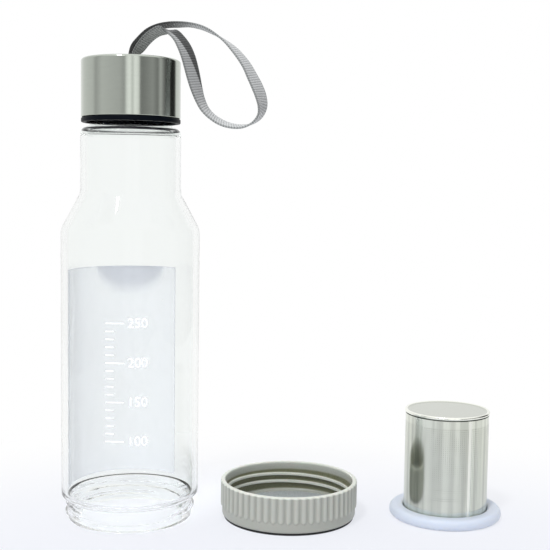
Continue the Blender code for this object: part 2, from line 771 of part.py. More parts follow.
def build_basket_wall(finish, place, bottom, top):
    """A tube of thin sheet with rows of holes between two plain borders and beside a plain seam."""
    columns = 2 * HOLE_COLUMNS
    rows = 2 * HOLE_ROWS - 1
    panel_bottom = bottom + HOLE_PANEL_MARGIN
    panel_top = top - HOLE_PANEL_MARGIN
    levels = [bottom]
    levels += [panel_bottom + (panel_top - panel_bottom) * i / rows for i in range(rows + 1)]
    levels += [top]
    shape = bmesh.new()
    middle = BASKET_RADIUS - BASKET_WALL / 2
    grid = []
    for level in levels:
        turns = [math.tau * i / columns for i in range(columns)]
        grid.append([shape.verts.new((middle * math.cos(a), middle * math.sin(a), level)) for a in turns])
    for row, (below, above) in enumerate(zip(grid, grid[1:])):
        for column in range(columns):
            after = (column + 1) % columns
            is_hole_row = row % 2 == 1
            is_hole_column = column % 2 == 0 and column != 2 * SEAM_COLUMN
            if is_hole_row and is_hole_column:
                continue
            shape.faces.new((below[column], below[after], above[after], above[column]))
    mesh = bpy.data.meshes.new("basket_wall")
    shape.to_mesh(mesh)
    shape.free()
    wall = add_object("basket_wall", mesh, finish, place)
    sheet = wall.modifiers.new("Sheet", "SOLIDIFY")
    sheet.thickness = BASKET_WALL
    sheet.offset = 0
    return wall


def main():
    clear_scene()
    finishes = {
        "glass": material("clear_glass", (0.92, 0.97, 0.95), 0.02, alpha=0.25),
        "film": material("frosted_film", (0.82, 0.87, 0.92), 0.5, alpha=0.8),
        "steel": material("brushed_steel", (0.45, 0.46, 0.43), 0.3, 1.0),
        "liner": material("black_plastic", (0.01, 0.01, 0.012), 0.4),
        "silicone": material("clear_silicone", (0.80, 0.86, 0.92), 0.35),
        "webbing": material("grey_webbing", (0.42, 0.44, 0.44), 0.8),
        "grey_plastic": material("grey_plastic", (0.40, 0.42, 0.39), 0.45),
        "black_rubber": material("black_rubber", (0.02, 0.02, 0.02), 0.7),
        "basket_steel": material("perforated_steel", (0.55, 0.56, 0.53), 0.35, 1.0),
    }
    build_bottle(finishes)
    gasket, cap_pieces = build_cap(finishes)
    strap = build_strap_loop(finishes["webbing"])
    foot_cap_pieces = build_foot_cap(finishes)
    seal = build_seal(finishes["silicone"])
    basket_pieces = build_basket(finishes["basket_steel"])
    ride(axis_empty("cap_turn_axis", (BOTTLE_X, 0, RIM_HEIGHT)), gasket, *cap_pieces, strap)
    ride(axis_empty("foot_cap_axis", (FOOT_CAP_X, 0, 0)), *foot_cap_pieces)
    ride(axis_empty("infuser_axis", (INFUSER_X, 0, 0)), seal, *basket_pieces)


main()
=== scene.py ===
"""Looks of the infuser water bottle, built around its packed frame.

Metres, +Z up, the side that the photograph shows towards -Y. Round pieces are turned from a profile.
Geometry Nodes raise their screw threads and grip ribs, punch the basket, weave the strap and repeat
the ticks of the volume scale.
"""

import math

import bmesh
import bpy
from bpy.props import FloatProperty, FloatVectorProperty, IntProperty, PointerProperty
from bpy.types import Operator, Panel, PropertyGroup
from mathutils import Matrix, Vector


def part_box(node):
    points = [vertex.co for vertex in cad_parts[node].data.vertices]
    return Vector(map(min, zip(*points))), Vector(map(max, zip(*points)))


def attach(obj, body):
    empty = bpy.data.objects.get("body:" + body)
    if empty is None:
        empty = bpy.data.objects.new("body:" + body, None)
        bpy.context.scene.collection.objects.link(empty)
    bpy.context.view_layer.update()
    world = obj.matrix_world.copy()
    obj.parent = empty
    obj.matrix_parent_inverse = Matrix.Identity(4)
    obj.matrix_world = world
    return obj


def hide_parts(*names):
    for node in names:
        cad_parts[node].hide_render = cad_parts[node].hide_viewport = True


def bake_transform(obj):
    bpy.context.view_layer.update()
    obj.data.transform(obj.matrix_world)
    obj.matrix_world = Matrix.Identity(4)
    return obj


bl_info = {
    "name": "Infuser Water Bottle",
    "version": (1, 0, 0),
    "blender": (4, 5, 0),
    "location": "3D View > Sidebar > Bottle",
    "description": "Finished pieces of an infuser water bottle around its packed frame",
    "category": "Object",
}

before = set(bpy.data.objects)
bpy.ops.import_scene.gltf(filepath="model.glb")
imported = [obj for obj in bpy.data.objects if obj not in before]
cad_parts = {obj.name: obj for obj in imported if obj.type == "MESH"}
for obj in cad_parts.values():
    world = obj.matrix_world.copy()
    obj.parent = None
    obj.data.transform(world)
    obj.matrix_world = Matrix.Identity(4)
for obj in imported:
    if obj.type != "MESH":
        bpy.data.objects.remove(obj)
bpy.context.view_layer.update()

# Clearances and facets
FIT_GAP = 0.0003
MERGE_DISTANCE = 0.00001
CUT_OVERRUN = 0.001
GLASS_COLUMNS = 144
METAL_COLUMNS = 144
THREAD_SPACING = 0.00025
WALL_SPACING = 0.001
RIB_SPACING = 0.0003
FILM_COLUMNS = 48
FILM_ROWS = 24
SECTION_STEPS = 8
SUPPORT = 0.001
THREAD_CANDIDATES = 3
SMOOTH_DEGREES = 35

# Places that the frame gives
BOTTLE_X, FOOT_CAP_X, INFUSER_X = (
    (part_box(node)[0].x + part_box(node)[1].x) / 2 for node in ("bottle_glass", "foot_cap", "infuser_seal")
)
RIM_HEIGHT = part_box("bottle_glass")[1].z
SHELL_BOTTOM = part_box("cap_shell")[0].z
SHELL_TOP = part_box("cap_shell")[1].z
LINER_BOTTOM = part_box("cap_liner")[0].z
LINER_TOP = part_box("cap_liner")[1].z
STRAP_FOOT_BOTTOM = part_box("strap_root")[0].z

# Plain white, the fade of the collar's clear glass and the scale's numbers
WHITE = (1.0, 1.0, 1.0, 1.0)
CLEAR_FADE = 0.0005
SCALE_VOLUMES = (100, 150, 200, 250)
# Inputs of the thread tree, in the order in which its sizes are given
THREAD_SIZES = (
    "Wall Radius",
    "Start Height",
    "Start Angle",
    "Pitch",
    "Turns",
    "Depth",
    "Base",
    "Crest",
    "Fade Turns",
)

# Along the strap: places from the hinge, as shares of the reach in X, Y and Z, and the twist in degrees
STRAP_ROUTE_SHARES = (
    (0.0108, 0.000, 0.000, 0),
    (0.063, -0.005, 0.063, -22),
    (0.115, -0.020, 0.125, -24),
    (0.176, -0.048, 0.172, -21),
    (0.247, -0.081, 0.197, -18),
    (0.320, -0.114, 0.183, 27),
    (0.377, -0.140, 0.130, 36),
    (0.419, -0.160, 0.062, 45),
    (0.450, -0.176, -0.012, 48),
    (0.473, -0.188, -0.091, 48),
    (0.493, -0.196, -0.170, 45),
    (0.514, -0.200, -0.250, 38),
    (0.540, -0.200, -0.328, 30),
    (0.577, -0.197, -0.402, 25),
    (0.633, -0.191, -0.461, 21),
    (0.703, -0.183, -0.504, 20),
    (0.781, -0.175, -0.528, 16),
    (0.863, -0.166, -0.531, 11),
    (0.940, -0.156, -0.505, 0),
    (0.998, -0.147, -0.449, -14),
    (1.019, -0.137, -0.371, -31),
    (1.005, -0.126, -0.291, -39),
    (0.975, -0.113, -0.215, -40),
    (0.939, -0.101, -0.142, -36),
    (0.901, -0.090, -0.069, -31),
    (0.855, -0.080, -0.002, -27),
    (0.802, -0.069, 0.060, -22),
    (0.742, -0.059, 0.116, -13),
    (0.676, -0.049, 0.164, -6),
    (0.605, -0.039, 0.205, 0),
    (0.529, -0.031, 0.235, 2),
    (0.448, -0.023, 0.251, 3),
    (0.366, -0.018, 0.252, 7),
    (0.284, -0.012, 0.248, 7),
    (0.203, -0.009, 0.232, 6),
    (0.129, -0.006, 0.197, 6),
    (0.068, -0.003, 0.142, 6),
    (0.018, -0.001, 0.076, 8),
    (-0.0108, 0.000, 0.000, 0),
)
ROUTE_STEPS = 24
# Painted light and shade: how light the webbing is along its run in metres
STRAP_PAINTED_TONES = (
    (0.000, 0.36),
    (0.010, 0.50),
    (0.022, 0.58),
    (0.0255, 0.30),
    (0.029, 0.75),
    (0.043, 0.52),
    (0.060, 0.58),
    (0.069, 0.85),
    (0.080, 1.00),
    (0.089, 0.96),
    (0.100, 0.62),
    (0.120, 0.80),
    (0.138, 1.00),
    (0.152, 0.80),
    (0.158, 0.42),
    (0.165, 0.14),
    (0.193, 0.08),
)

# What polished surfaces mirror round the studio: degrees from the camera's side towards +X, and brightness
MIRRORED_BANDS = (
    (-180, 0.95),
    (-150, 0.95),
    (-128, 0.80),
    (-92, 0.70),
    (-82, 0.48),
    (-64, 0.68),
    (-20, 0.58),
    (-9, 0.44),
    (-4, 1.00),
    (3, 1.22),
    (9, 0.70),
    (14, 1.20),
    (23, 1.00),
    (27, 0.24),
    (56, 0.40),
    (69, 0.24),
    (77, 0.58),
    (85, 0.28),
    (93, 0.09),
    (102, 0.16),
    (110, 0.02),
    (126, 0.03),
    (134, 0.85),
    (180, 0.95),
)
# What clear glass shows behind it, in the same way
THROUGH_BANDS = (
    (-180, 1.00),
    (-140, 1.00),
    (-110, 0.93),
    (-60, 0.98),
    (50, 0.97),
    (96, 0.92),
    (124, 0.93),
    (142, 1.00),
    (180, 1.00),
)


def length(name, default, description):
    settings = {"min": 0.0, "precision": 4, "unit": "LENGTH"}
    return FloatProperty(name=name, description=description, default=default, **settings)


def turn_angle(name, degrees, description):
    return FloatProperty(name=name, description=description, default=math.radians(degrees), subtype="ANGLE")


def number(name, default, description):
    return FloatProperty(name=name, description=description, default=default)


def count(name, default, description):
    return IntProperty(name=name, description=description, default=default, min=1)


def colour(name, default, description):
    return FloatVectorProperty(
        name=name, description=description, default=default, size=3, min=0.0, max=1.0, subtype="COLOR"
    )


class BottleSizes(PropertyGroup):
    """Sizes of the glass bottle, of the film inside and of the printed scale."""

    body_radius: length("Body Radius", 0.0325, "Outer radius of the glass body")
    wall: length("Wall", 0.0026, "Thickness of the body's glass")
    body_height: length("Body Height", 0.1358, "Height at which the shoulder starts")
    shoulder_height: length("Shoulder Height", 0.021, "Height of the sloping shoulder")
    shoulder_fillet: length("Shoulder Fillet", 0.008, "Rounding at both ends of the shoulder")
    shoulder_inner_drop: length("Shoulder Inner Drop", 0.0006, "How far the shoulder's inside lies lower")
    neck_radius: length("Neck Radius", 0.0234, "Outer radius of the neck")
    neck_wall: length("Neck Wall", 0.0024, "Thickness of the neck's glass")
    neck_height: length("Neck Height", 0.0250, "Height of the neck up to its round collar")
    collar_height: length("Collar Height", 0.0038, "Height of the round collar under the cap")
    collar_inner_drop: length("Collar Inner Drop", 0.0010, "How far the inside of the collar lies lower")
    # The dark line is a painted reflection of the black liner in the collar
    dark_line: length("Dark Line", 0.0008, "Height of the line that the liner throws into the collar")
    dark_line_share: number("Dark Line Place", 0.6, "Place of the line as a share of the collar's height")
    finish_radius: length("Finish Radius", 0.0193, "Outer radius of the mouth inside the cap")
    finish_wall: length("Finish Wall", 0.0025, "Thickness of the mouth's glass")
    rim_round: length("Rim Rounding", 0.0007, "Rounding of the drinking rim")
    foot_radius: length("Foot Radius", 0.0293, "Outer radius of the threaded foot")
    foot_wall: length("Foot Wall", 0.0048, "Thickness of the foot's glass")
    foot_height: length("Foot Height", 0.0110, "Height of the threaded foot")
    foot_round: length("Foot Lip Rounding", 0.0014, "Rounding of the lip that the bottle stands on")
    step_round: length("Foot Step Rounding", 0.0018, "Rounding between the body and the foot")
    throat_height: length("Throat Height", 0.0080, "Height at which the inside starts to widen")
    throat_rise: length("Throat Rise", 0.0060, "Height over which the inside widens")
    pitch: length("Thread Pitch", 0.004, "Rise of the screw threads in one turn")
    thread_base: length("Thread Base", 0.0024, "Width of a thread at the wall")
    thread_crest: length("Thread Crest", 0.0006, "Width of a thread at its crest")
    thread_fade: number("Thread Fade", 0.08, "Share of a turn over which a thread rises and ends")
    neck_thread_depth: length("Neck Thread Depth", 0.0012, "How far the neck thread stands out")
    neck_thread_turns: number("Neck Thread Turns", 1.5, "Turns of the neck thread")
    neck_thread_start: length("Neck Thread Start", 0.0050, "Distance from the rim to the neck thread")
    foot_thread_depth: length("Foot Thread Depth", 0.0013, "How far the foot thread stands out")
    foot_thread_turns: number("Foot Thread Turns", 1.4, "Turns of the foot thread")
    foot_thread_start: length("Foot Thread Start", 0.0030, "Distance from the body to the foot thread")
    foot_thread_angle: turn_angle("Foot Thread Angle", -150, "Where the foot thread starts, from +X")
    film_width: length("Film Width", 0.074, "Width of the film along the curve")
    film_thickness: length("Film Thickness", 0.0003, "Thickness of the film")
    film_top_margin: length("Film Top Margin", 0.0175, "Distance from the film to the shoulder")
    film_angle: turn_angle("Film Angle", 118, "Where the middle of the film is, from +X")
    film_edge: length("Film Edge", 0.0008, "Height of the film's paler upper edge")
    # The crescent is a painted shadow of the cap on the film
    crescent_angle: turn_angle("Crescent Angle", 96.26, "Where the film's dense crescent is, from +X")
    crescent_spread: turn_angle("Crescent Spread", 35.52, "Half the turn that the crescent takes")
    crescent_depth: length("Crescent Depth", 0.0140, "How far the crescent hangs below the film's edge")
    crescent_fade: length("Crescent Fade", 0.0050, "How softly the crescent ends")
    scale_angle: turn_angle("Scale Angle", -104, "Where the ticks start, from +X")
    scale_first: length("First Tick", 0.0436, "Height of the lowest tick of the scale")
    scale_spacing: length("Tick Spacing", 0.00356, "Distance between the ticks of the scale")
    scale_ticks: count("Ticks", 16, "Number of ticks of the scale")
    scale_long_every: count("Long Tick Every", 5, "Every so many ticks is long and has a number")
    scale_line: length("Tick Width", 0.00045, "Width of a tick's line")
    scale_short: length("Short Tick", 0.0040, "Length of a short tick")
    scale_long: length("Long Tick", 0.0085, "Length of a long tick")
    scale_text: length("Number Height", 0.0062, "Height of the numbers of the scale")
    print_thickness: length("Print Thickness", 0.00004, "Thickness of the printed layer")
    print_lift: number("Print Lift", 3.5, "Height of the print's outer side over the glass, in layers")


class CapSizes(PropertyGroup):
    """Sizes of the steel cap and of its black liner."""

    shell_wall: length("Shell Wall", 0.0006, "Thickness of the steel")
    shell_round: length("Shell Rounding", 0.0013, "Rounding of the shell's top edge")
    shell_hem: length("Shell Hem Rounding", 0.0003, "Rounding of the shell's lower edge")
    liner_plate: length("Liner Plate", 0.0018, "Thickness of the liner's top")
    liner_bore: length("Liner Bore", 0.0209, "Inner radius of the liner")
    liner_wall: length("Liner Wall", 0.0013, "Thickness of the liner's wall")
    liner_round: length("Liner Rounding", 0.0005, "Rounding of the liner's edges")
    flange_height: length("Flange Height", 0.0021, "Height of the black flange under the steel")
    thread_depth: length("Liner Thread Depth", 0.0012, "How far the liner's thread stands in")
    thread_base: length("Liner Thread Base", 0.0021, "Width of the liner's thread at the wall")
    thread_crest: length("Liner Thread Crest", 0.0007, "Width of the liner's thread at its crest")
    slot_clearance: length("Slot Clearance", 0.0003, "Room between the strap and its slot")


class StrapSizes(PropertyGroup):
    """Sizes of the woven wrist strap."""

    width: length("Width", 0.0084, "Width of the webbing")
    thickness: length("Thickness", 0.0010, "Thickness of the webbing at its selvedges")
    strand_gap: length("Strand Gap", 0.0003, "Gap between the two strands in the slot")
    reach: length("Reach", 0.060, "How far the loop reaches from the cap's axis")
    selvedge: length("Selvedge", 0.0006, "Width of the rolled edge")
    hollow: length("Hollow", 0.00012, "How far the faces lie below the selvedges")
    rib_pitch: length("Rib Pitch", 0.0012, "Distance between the woven cross ribs")
    rib_depth: length("Rib Depth", 0.00022, "Depth between the woven cross ribs")
    yarn_pitch: length("Yarn Pitch", 0.00042, "Distance between the yarns that run along the strap")
    row_spacing: length("Row Spacing", 0.00015, "Distance between rows of the mesh along the strap")
    # Runs between which the falling strand carries a painted shade beyond its crease
    shade_start: length("Shade Start", 0.0289, "Run at which the falling strand is shaded beyond its crease")
    shade_end: length("Shade End", 0.0610, "Run at which the crease leaves the strand's edge")
    foot_length: length("Foot Length", 0.0080, "Length of the sewn end under the shell")
    foot_thickness: length("Foot Thickness", 0.0008, "Thickness of the sewn end")


class FootCapSizes(PropertyGroup):
    """Sizes of the ribbed screw cap of the foot and of its pad."""

    radius: length("Radius", 0.0322, "Outer radius between the ribs")
    wall: length("Wall", 0.0014, "Thickness of the wall")
    height: length("Height", 0.0180, "Height of the rim over the floor")
    floor: length("Floor", 0.0026, "Thickness of the cap's floor")
    edge: length("Edge", 0.0005, "Rounding of the rim")
    inner_edge_share: number("Inner Edge Share", 0.6, "Rounding inside the rim, as a share of the rim's")
    band: length("Band", 0.0042, "Height of the smooth band below the ribs")
    corner: length("Corner", 0.0016, "Rounding of the lower corner")
    fillet: length("Fillet", 0.0010, "Rounding between the wall and the floor inside")
    ribs: count("Ribs", 58, "Number of grip ribs")
    rib_depth: length("Rib Depth", 0.0007, "How far the ribs stand out")
    rib_fade: length("Rib Fade", 0.0012, "Height over which the ribs end above the band")
    columns_per_rib: count("Columns for Each Rib", 8, "Columns of the mesh for each rib")
    pitch: length("Thread Pitch", 0.0038, "Rise of the thread in one turn")
    thread_depth: length("Thread Depth", 0.0014, "How far the thread stands in")
    thread_base: length("Thread Base", 0.0022, "Width of the thread at the wall")
    thread_crest: length("Thread Crest", 0.0009, "Width of the thread at its crest")
    thread_turns: number("Thread Turns", 2.4, "Turns of the thread")
    thread_start: length("Thread Start", 0.0034, "Distance from the rim to the thread")
    thread_fade: number("Thread Fade", 0.06, "Share of a turn over which the thread rises and ends")
    pad_proud: length("Pad Proud", 0.0008, "How far the pad stands out below")
    pad_thickness: length("Pad Thickness", 0.0016, "Thickness of the pad")
    pad_width: length("Pad Width", 0.0048, "Width of the pad's ring")
    pad_inset: length("Pad Inset", 0.0008, "Distance from the cap's side to the pad")
    pad_round: length("Pad Rounding", 0.0003, "Rounding of the pad's edges")


class InfuserSizes(PropertyGroup):
    """Sizes of the silicone ring and of the perforated basket."""

    seal_radius: length("Ring Radius", 0.0269, "Outer radius of the silicone ring")
    seal_height: length("Ring Height", 0.0054, "Height of the silicone ring")
    seal_bore: length("Ring Bore", 0.0198, "Inner radius of the silicone ring")
    seal_lip: length("Ring Lip", 0.0022, "Height of the lip under the flange")
    seal_round: length("Ring Rounding", 0.0025, "Rounding of the ring's outer edges")
    seal_edge: length("Ring Edge", 0.0004, "Rounding of the ring's inner edges")
    seal_crown: length("Ring Crown", 0.0012, "Rounding of the ring's upper inner edge")
    radius: length("Radius", 0.0200, "Outer radius of the basket")
    wall: length("Wall", 0.0005, "Thickness of the steel")
    height: length("Height", 0.0471, "Height of the perforated wall")
    flange_radius: length("Flange Radius", 0.0210, "Outer radius of the flange")
    flange_thickness: length("Flange Thickness", 0.0007, "Thickness of the flange")
    collar_depth: length("Collar Depth", 0.0030, "How far the collars reach into the wall")
    end_thickness: length("End Thickness", 0.0006, "Thickness of the end disc")
    bead: length("Bead", 0.0008, "Radius of the rolled bead")
    hole_columns: count("Hole Columns", 128, "Holes round the wall, with the seam's place")
    hole_rows: count("Hole Rows", 40, "Holes up the wall")
    hole_share: number("Hole Share", 0.22, "Radius of a hole as a share of its tile")
    border: length("Border", 0.0036, "Height of the plain borders")
    seam_angle: turn_angle("Seam Angle", -69, "Where the welded seam is, from +X")


class FinishColours(PropertyGroup):
    """Colours of the finishes, as light that they send back."""

    glass: colour("Glass", (0.957, 0.971, 0.964), "Tint of the clear glass")
    film: colour("Film", (0.87, 0.90, 1.0), "Frosted film")
    ink: colour("Print", (0.95, 0.96, 0.97), "White print on the glass")
    steel: colour("Cap Steel", (0.57, 0.61, 0.55), "Brushed steel of the cap")
    liner: colour("Liner", (0.003, 0.005, 0.009), "Black plastic of the liner")
    webbing: colour("Webbing", (0.78, 0.80, 0.81), "Woven strap")
    selvedge: colour("Selvedge", (0.16, 0.17, 0.17), "Edges of the strap")
    plastic: colour("Foot Cap", (0.425, 0.44, 0.405), "Grey plastic of the foot cap")
    # Painted shade between the threads of the foot cap
    groove: colour("Thread Groove", (0.115, 0.118, 0.050), "Plastic between the threads of the foot cap")
    cap_floor: colour("Cap Floor", (0.42, 0.46, 0.49), "Floor of the foot cap")
    rubber: colour("Pad", (0.006, 0.0065, 0.0065), "Black rubber of the pad")
    silicone: colour("Silicone", (0.70, 0.76, 0.89), "Translucent ring and gasket")
    basket: colour("Basket Steel", (0.76, 0.79, 0.71), "Steel of the basket")
    floor: colour("Floor", (0.90, 0.90, 0.93), "Pale floor")
    # Painted shade: a bluish tone of the floor's white round the object
    near_floor: colour("Near Floor", (0.90, 0.92, 0.985), "White of the floor in front of the object")


class StudioSettings(PropertyGroup):
    """Camera, light and floor."""

    camera_distance: length("Camera Distance", 0.4832, "Distance of the camera in front of the object")
    camera_height: length("Camera Height", 0.1564, "Height of the camera")
    camera_side: number("Camera Side", -0.0239, "Sideways place of the camera in metres")
    camera_pitch: turn_angle("Camera Pitch", 85.31, "Tilt of the camera, where 90 degrees looks level")
    camera_clip: length("Camera Clip", 0.01, "Nearest distance that the camera shows")
    camera_turn: turn_angle("Camera Turn", -2.21, "Turn of the camera from +Y, below zero towards +X")
    camera_roll: turn_angle("Camera Roll", 0.8, "Turn of the camera about its own line of sight")
    lens: number("Lens", 66.63, "Focal length in millimetres on a 36 mm sensor")
    sky: number("Sky", 0.66, "Brightness of the light from all round")
    key: number("Key Light", 1.25, "Strength of the light from above the camera")
    key_elevation: turn_angle("Key Elevation", 55, "Height of the key light")
    key_turn: turn_angle("Key Turn", -32, "Turn of the key light from the camera's side towards -X")
    key_softness: turn_angle("Key Softness", 7, "Width of the key light as seen from the object")
    floor_size: length("Floor Size", 1.0, "Side of the floor")
    floor_white: number("Floor White", 0.72, "Share of plain white in the floor near the object")
    fade_shift: length("Fade Shift", 0.07, "How far towards the camera the floor is least white")
    fade_aspect: number("Fade Aspect", 0.7, "Share at which the distance sideways counts in the fade")
    fade_start: length("Fade Start", 0.04, "Distance at which the floor starts to turn white")
    fade_end: length("Fade End", 0.24, "Distance at which the floor is white")
    overhead_start: number("Overhead Start", 0.45, "Height in the sky at which the bands start to turn white")
    overhead_end: number("Overhead End", 0.85, "Height in the sky at which the bands are white")


class Term:
    """A node's output that takes part in sums: each operator adds a Math node to its tree."""

    def __init__(self, graph, socket):
        self.graph = graph
        self.socket = socket

    def other(self, name):
        """Another output of the same node."""
        return Term(self.graph, self.socket.node.outputs[name])

    def __add__(self, value):
        return self.graph.math("ADD", self, value)

    __radd__ = __add__

    def __sub__(self, value):
        return self.graph.math("SUBTRACT", self, value)

    def __rsub__(self, value):
        return self.graph.math("SUBTRACT", value, self)

    def __mul__(self, value):
        return self.graph.math("MULTIPLY", self, value)

    __rmul__ = __mul__

    def __truediv__(self, value):
        return self.graph.math("DIVIDE", self, value)

    def __pow__(self, value):
        return self.graph.math("POWER", self, value)

    def __lt__(self, value):
        return self.graph.math("LESS_THAN", self, value)

    def __gt__(self, value):
        return self.graph.math("GREATER_THAN", self, value)

    def __abs__(self):
        return self.graph.math("ABSOLUTE", self)


class Graph:
    """Adds nodes to a shader or geometry tree."""

    def __init__(self, tree):
        self.tree = tree

    def node(self, kind, settings=None, values=None, output=0):
        """Adds a node with its settings, then the values or links of its sockets, and gives one output."""
        made = self.tree.nodes.new(kind)
        for name, value in (settings or {}).items():
            setattr(made, name, value)
        for name, value in (values or {}).items():
            for source in value if isinstance(value, list) else [value]:
                if isinstance(source, Term):
                    self.tree.links.new(source.socket, made.inputs[name])
                else:
                    made.inputs[name].default_value = source
        return Term(self, made.outputs[output]) if made.outputs else None

    def math(self, operation, *values):
        return self.node("ShaderNodeMath", {"operation": operation}, dict(enumerate(values)))

    def vector_math(self, operation, *values):
        return self.node("ShaderNodeVectorMath", {"operation": operation}, dict(enumerate(values)))

    def minimum(self, first, second):
        return self.math("MINIMUM", first, second)

    def maximum(self, first, second):
        return self.math("MAXIMUM", first, second)

    def clamp(self, value):
        return self.minimum(self.maximum(value, 0.0), 1.0)

    def smooth_step(self, value, low, high):
        """0 below low, 1 above high, and a smooth rise between them."""
        share = self.clamp((value - low) / (high - low))
        return share * share * (3.0 - 2.0 * share)

    def parts(self, vector):
        """X, Y and Z of a vector."""
        first = self.node("ShaderNodeSeparateXYZ", None, {0: vector})
        return first, first.other("Y"), first.other("Z")

    def vector(self, x, y, z):
        return self.node("ShaderNodeCombineXYZ", None, {0: x, 1: y, 2: z})

    def mix(self, factor, first, second, blend="MIX"):
        """A colour between two colours, or their blend."""
        settings = {"data_type": "RGBA", "blend_type": blend}
        return self.node("ShaderNodeMix", settings, {0: factor, 6: first, 7: second}, 2)

    def mix_shader(self, factor, first, second):
        return self.node("ShaderNodeMixShader", None, {0: factor, 1: first, 2: second})

    def ramp(self, factor, stops):
        """A grey tone read from stops of place and grey value."""
        tone = self.node("ShaderNodeValToRGB", None, {"Fac": factor})
        elements = tone.socket.node.color_ramp.elements
        while len(elements) < len(stops):
            elements.new(1.0)
        for element, (place, grey) in zip(elements, stops):
            element.position = place
            element.color = (grey, grey, grey, 1.0)
        return tone

    def noise(self, vector, scale, detail):
        values = {"Vector": vector, "Scale": scale, "Detail": detail}
        return self.node("ShaderNodeTexNoise", None, values, "Fac")

    def object_place(self):
        return self.node("ShaderNodeTexCoord", None, None, "Object")

    def attribute(self, name, kind="FLOAT"):
        """A value that the mesh carries at each of its points."""
        return self.node("GeometryNodeInputNamedAttribute", {"data_type": kind}, {"Name": name})

    def as_mesh(self, pieces):
        """Several pieces of geometry, instances too, as one mesh."""
        both = self.node("GeometryNodeJoinGeometry", None, {"Geometry": pieces})
        return self.node("GeometryNodeRealizeInstances", None, {"Geometry": both})

    def moved(self, geometry, position):
        """Geometry with each of its points put at a new position."""
        return self.node("GeometryNodeSetPosition", None, {"Geometry": geometry, "Position": position})

    def round_place(self, x):
        """Radius, angle and height of a surface point about an upright axis at x."""
        centred = self.vector_math("SUBTRACT", self.object_place(), (x, 0.0, 0.0))
        east, north, height = self.parts(centred)
        radius = (east * east + north * north) ** 0.5
        return radius, self.math("ARCTAN2", north, east), height


def shade(value):
    """A colour with its alpha."""
    return (*value, 1.0)


def tinted(value, share):
    """A colour made lighter or darker."""
    return tuple(min(1.0, part * share) for part in value) + (1.0,)


def new_material(name):
    made = bpy.data.materials.new(name)
    made.use_nodes = True
    made.node_tree.nodes.clear()
    return made, Graph(made.node_tree)


def surface(graph, values, height, strength, distance):
    """Links a Principled surface with a bump to the material's output."""
    bump = {"Height": height, "Strength": strength, "Distance": distance}
    values["Normal"] = graph.node("ShaderNodeBump", None, bump)
    shader = graph.node("ShaderNodeBsdfPrincipled", None, values)
    graph.node("ShaderNodeOutputMaterial", None, {"Surface": shader})


def clear_glass(tint, reflection_tint, sizes):
    """Clear pressed glass, faintly wavy, with a painted reflection: the dark line of the black liner in its
    collar.
    """
    made, graph = new_material("clear_glass")
    place = graph.object_place()
    radius, _, height = graph.round_place(BOTTLE_X)
    collar_bottom = sizes.body_height + sizes.shoulder_height + sizes.neck_height
    at_collar = graph.smooth_step(height, collar_bottom - 2 * CLEAR_FADE, collar_bottom + CLEAR_FADE)
    at_collar = at_collar * (1.0 - graph.smooth_step(height, LINER_BOTTOM, LINER_BOTTOM + CLEAR_FADE))
    # Painted reflection: a dark band of the liner's colour round the outside of the collar
    line_height = collar_bottom + sizes.dark_line_share * sizes.collar_height
    half_line = sizes.dark_line / 2
    line = 1.0 - graph.smooth_step(abs(height - line_height), half_line, half_line * 1.5)
    line = line * (radius > sizes.finish_radius - FIT_GAP)
    ripple = graph.noise(place, 90.0, 1.0)
    smudge = graph.noise(place, 260.0, 3.0)
    normal = graph.node("ShaderNodeBump", None, {"Height": ripple, "Strength": 0.05, "Distance": 0.0006})
    values = {
        "Base Color": graph.mix(smudge, shade(tint), tinted(tint, 0.995)),
        "Roughness": 0.004 + 0.012 * smudge,
        "Normal": normal,
        "IOR": 1.30,
        "Transmission Weight": 1.0,
    }
    glass = graph.node("ShaderNodeBsdfPrincipled", None, values)
    clear = graph.node("ShaderNodeBsdfTransparent", None, {"Color": shade(tint)})
    shadow = graph.node("ShaderNodeLightPath", None, None, "Is Shadow Ray")
    seen = graph.mix_shader(graph.maximum(shadow, 0.9 * at_collar), glass, clear)
    dark = graph.node("ShaderNodeBsdfPrincipled", None, {"Base Color": shade(reflection_tint), "Roughness": 0.12})
    seen = graph.mix_shader(line, seen, dark)
    graph.node("ShaderNodeOutputMaterial", None, {"Surface": seen})
    return made


def frosted_film(tint, top, end_angle, sizes):
    """Milky film with faint handling marks and a painted shadow of the cap: a darker, denser crescent in the
    middle of its upper edge.
    """
    made, graph = new_material("frosted_film")
    _, angle, height = graph.round_place(BOTTLE_X)
    cloud = graph.noise(graph.vector(angle * 0.6, 0.0, height * 9.0), 5.0, 2.0)
    grain = graph.noise(graph.object_place(), 2600.0, 2.0)
    edge = graph.smooth_step(height, top - sizes.film_edge, top)
    # Painted shadow of the cap: a darker, more opaque crescent hanging from the film's upper edge
    across = (angle - sizes.crescent_angle) / sizes.crescent_spread
    sag = graph.clamp(1.0 - across * across) ** 0.5
    into = sizes.crescent_depth * sag - (top - height)
    painted_cap_shadow = graph.smooth_step(into, -sizes.crescent_fade / 2, sizes.crescent_fade * 1.6)
    side = graph.smooth_step(angle, 2.2, 2.7)
    end = 1.0 - graph.smooth_step(angle, end_angle, end_angle + 0.03)
    marks_and_shadow = graph.clamp(cloud * 0.4 + edge * 0.3 + painted_cap_shadow + side * 0.3 + end * 0.6)
    values = {
        "Base Color": graph.mix(marks_and_shadow, shade(tint), tinted(tint, 0.80)),
        "Roughness": 0.38 + 0.16 * cloud,
        "Alpha": graph.clamp(0.24 + 0.08 * cloud + 0.2 * edge + 0.45 * painted_cap_shadow + 0.06 * side + 0.3 * end),
        "Transmission Weight": 0.65,
        "IOR": 1.2,
    }
    surface(graph, values, grain, 0.15, 0.00005)
    return made


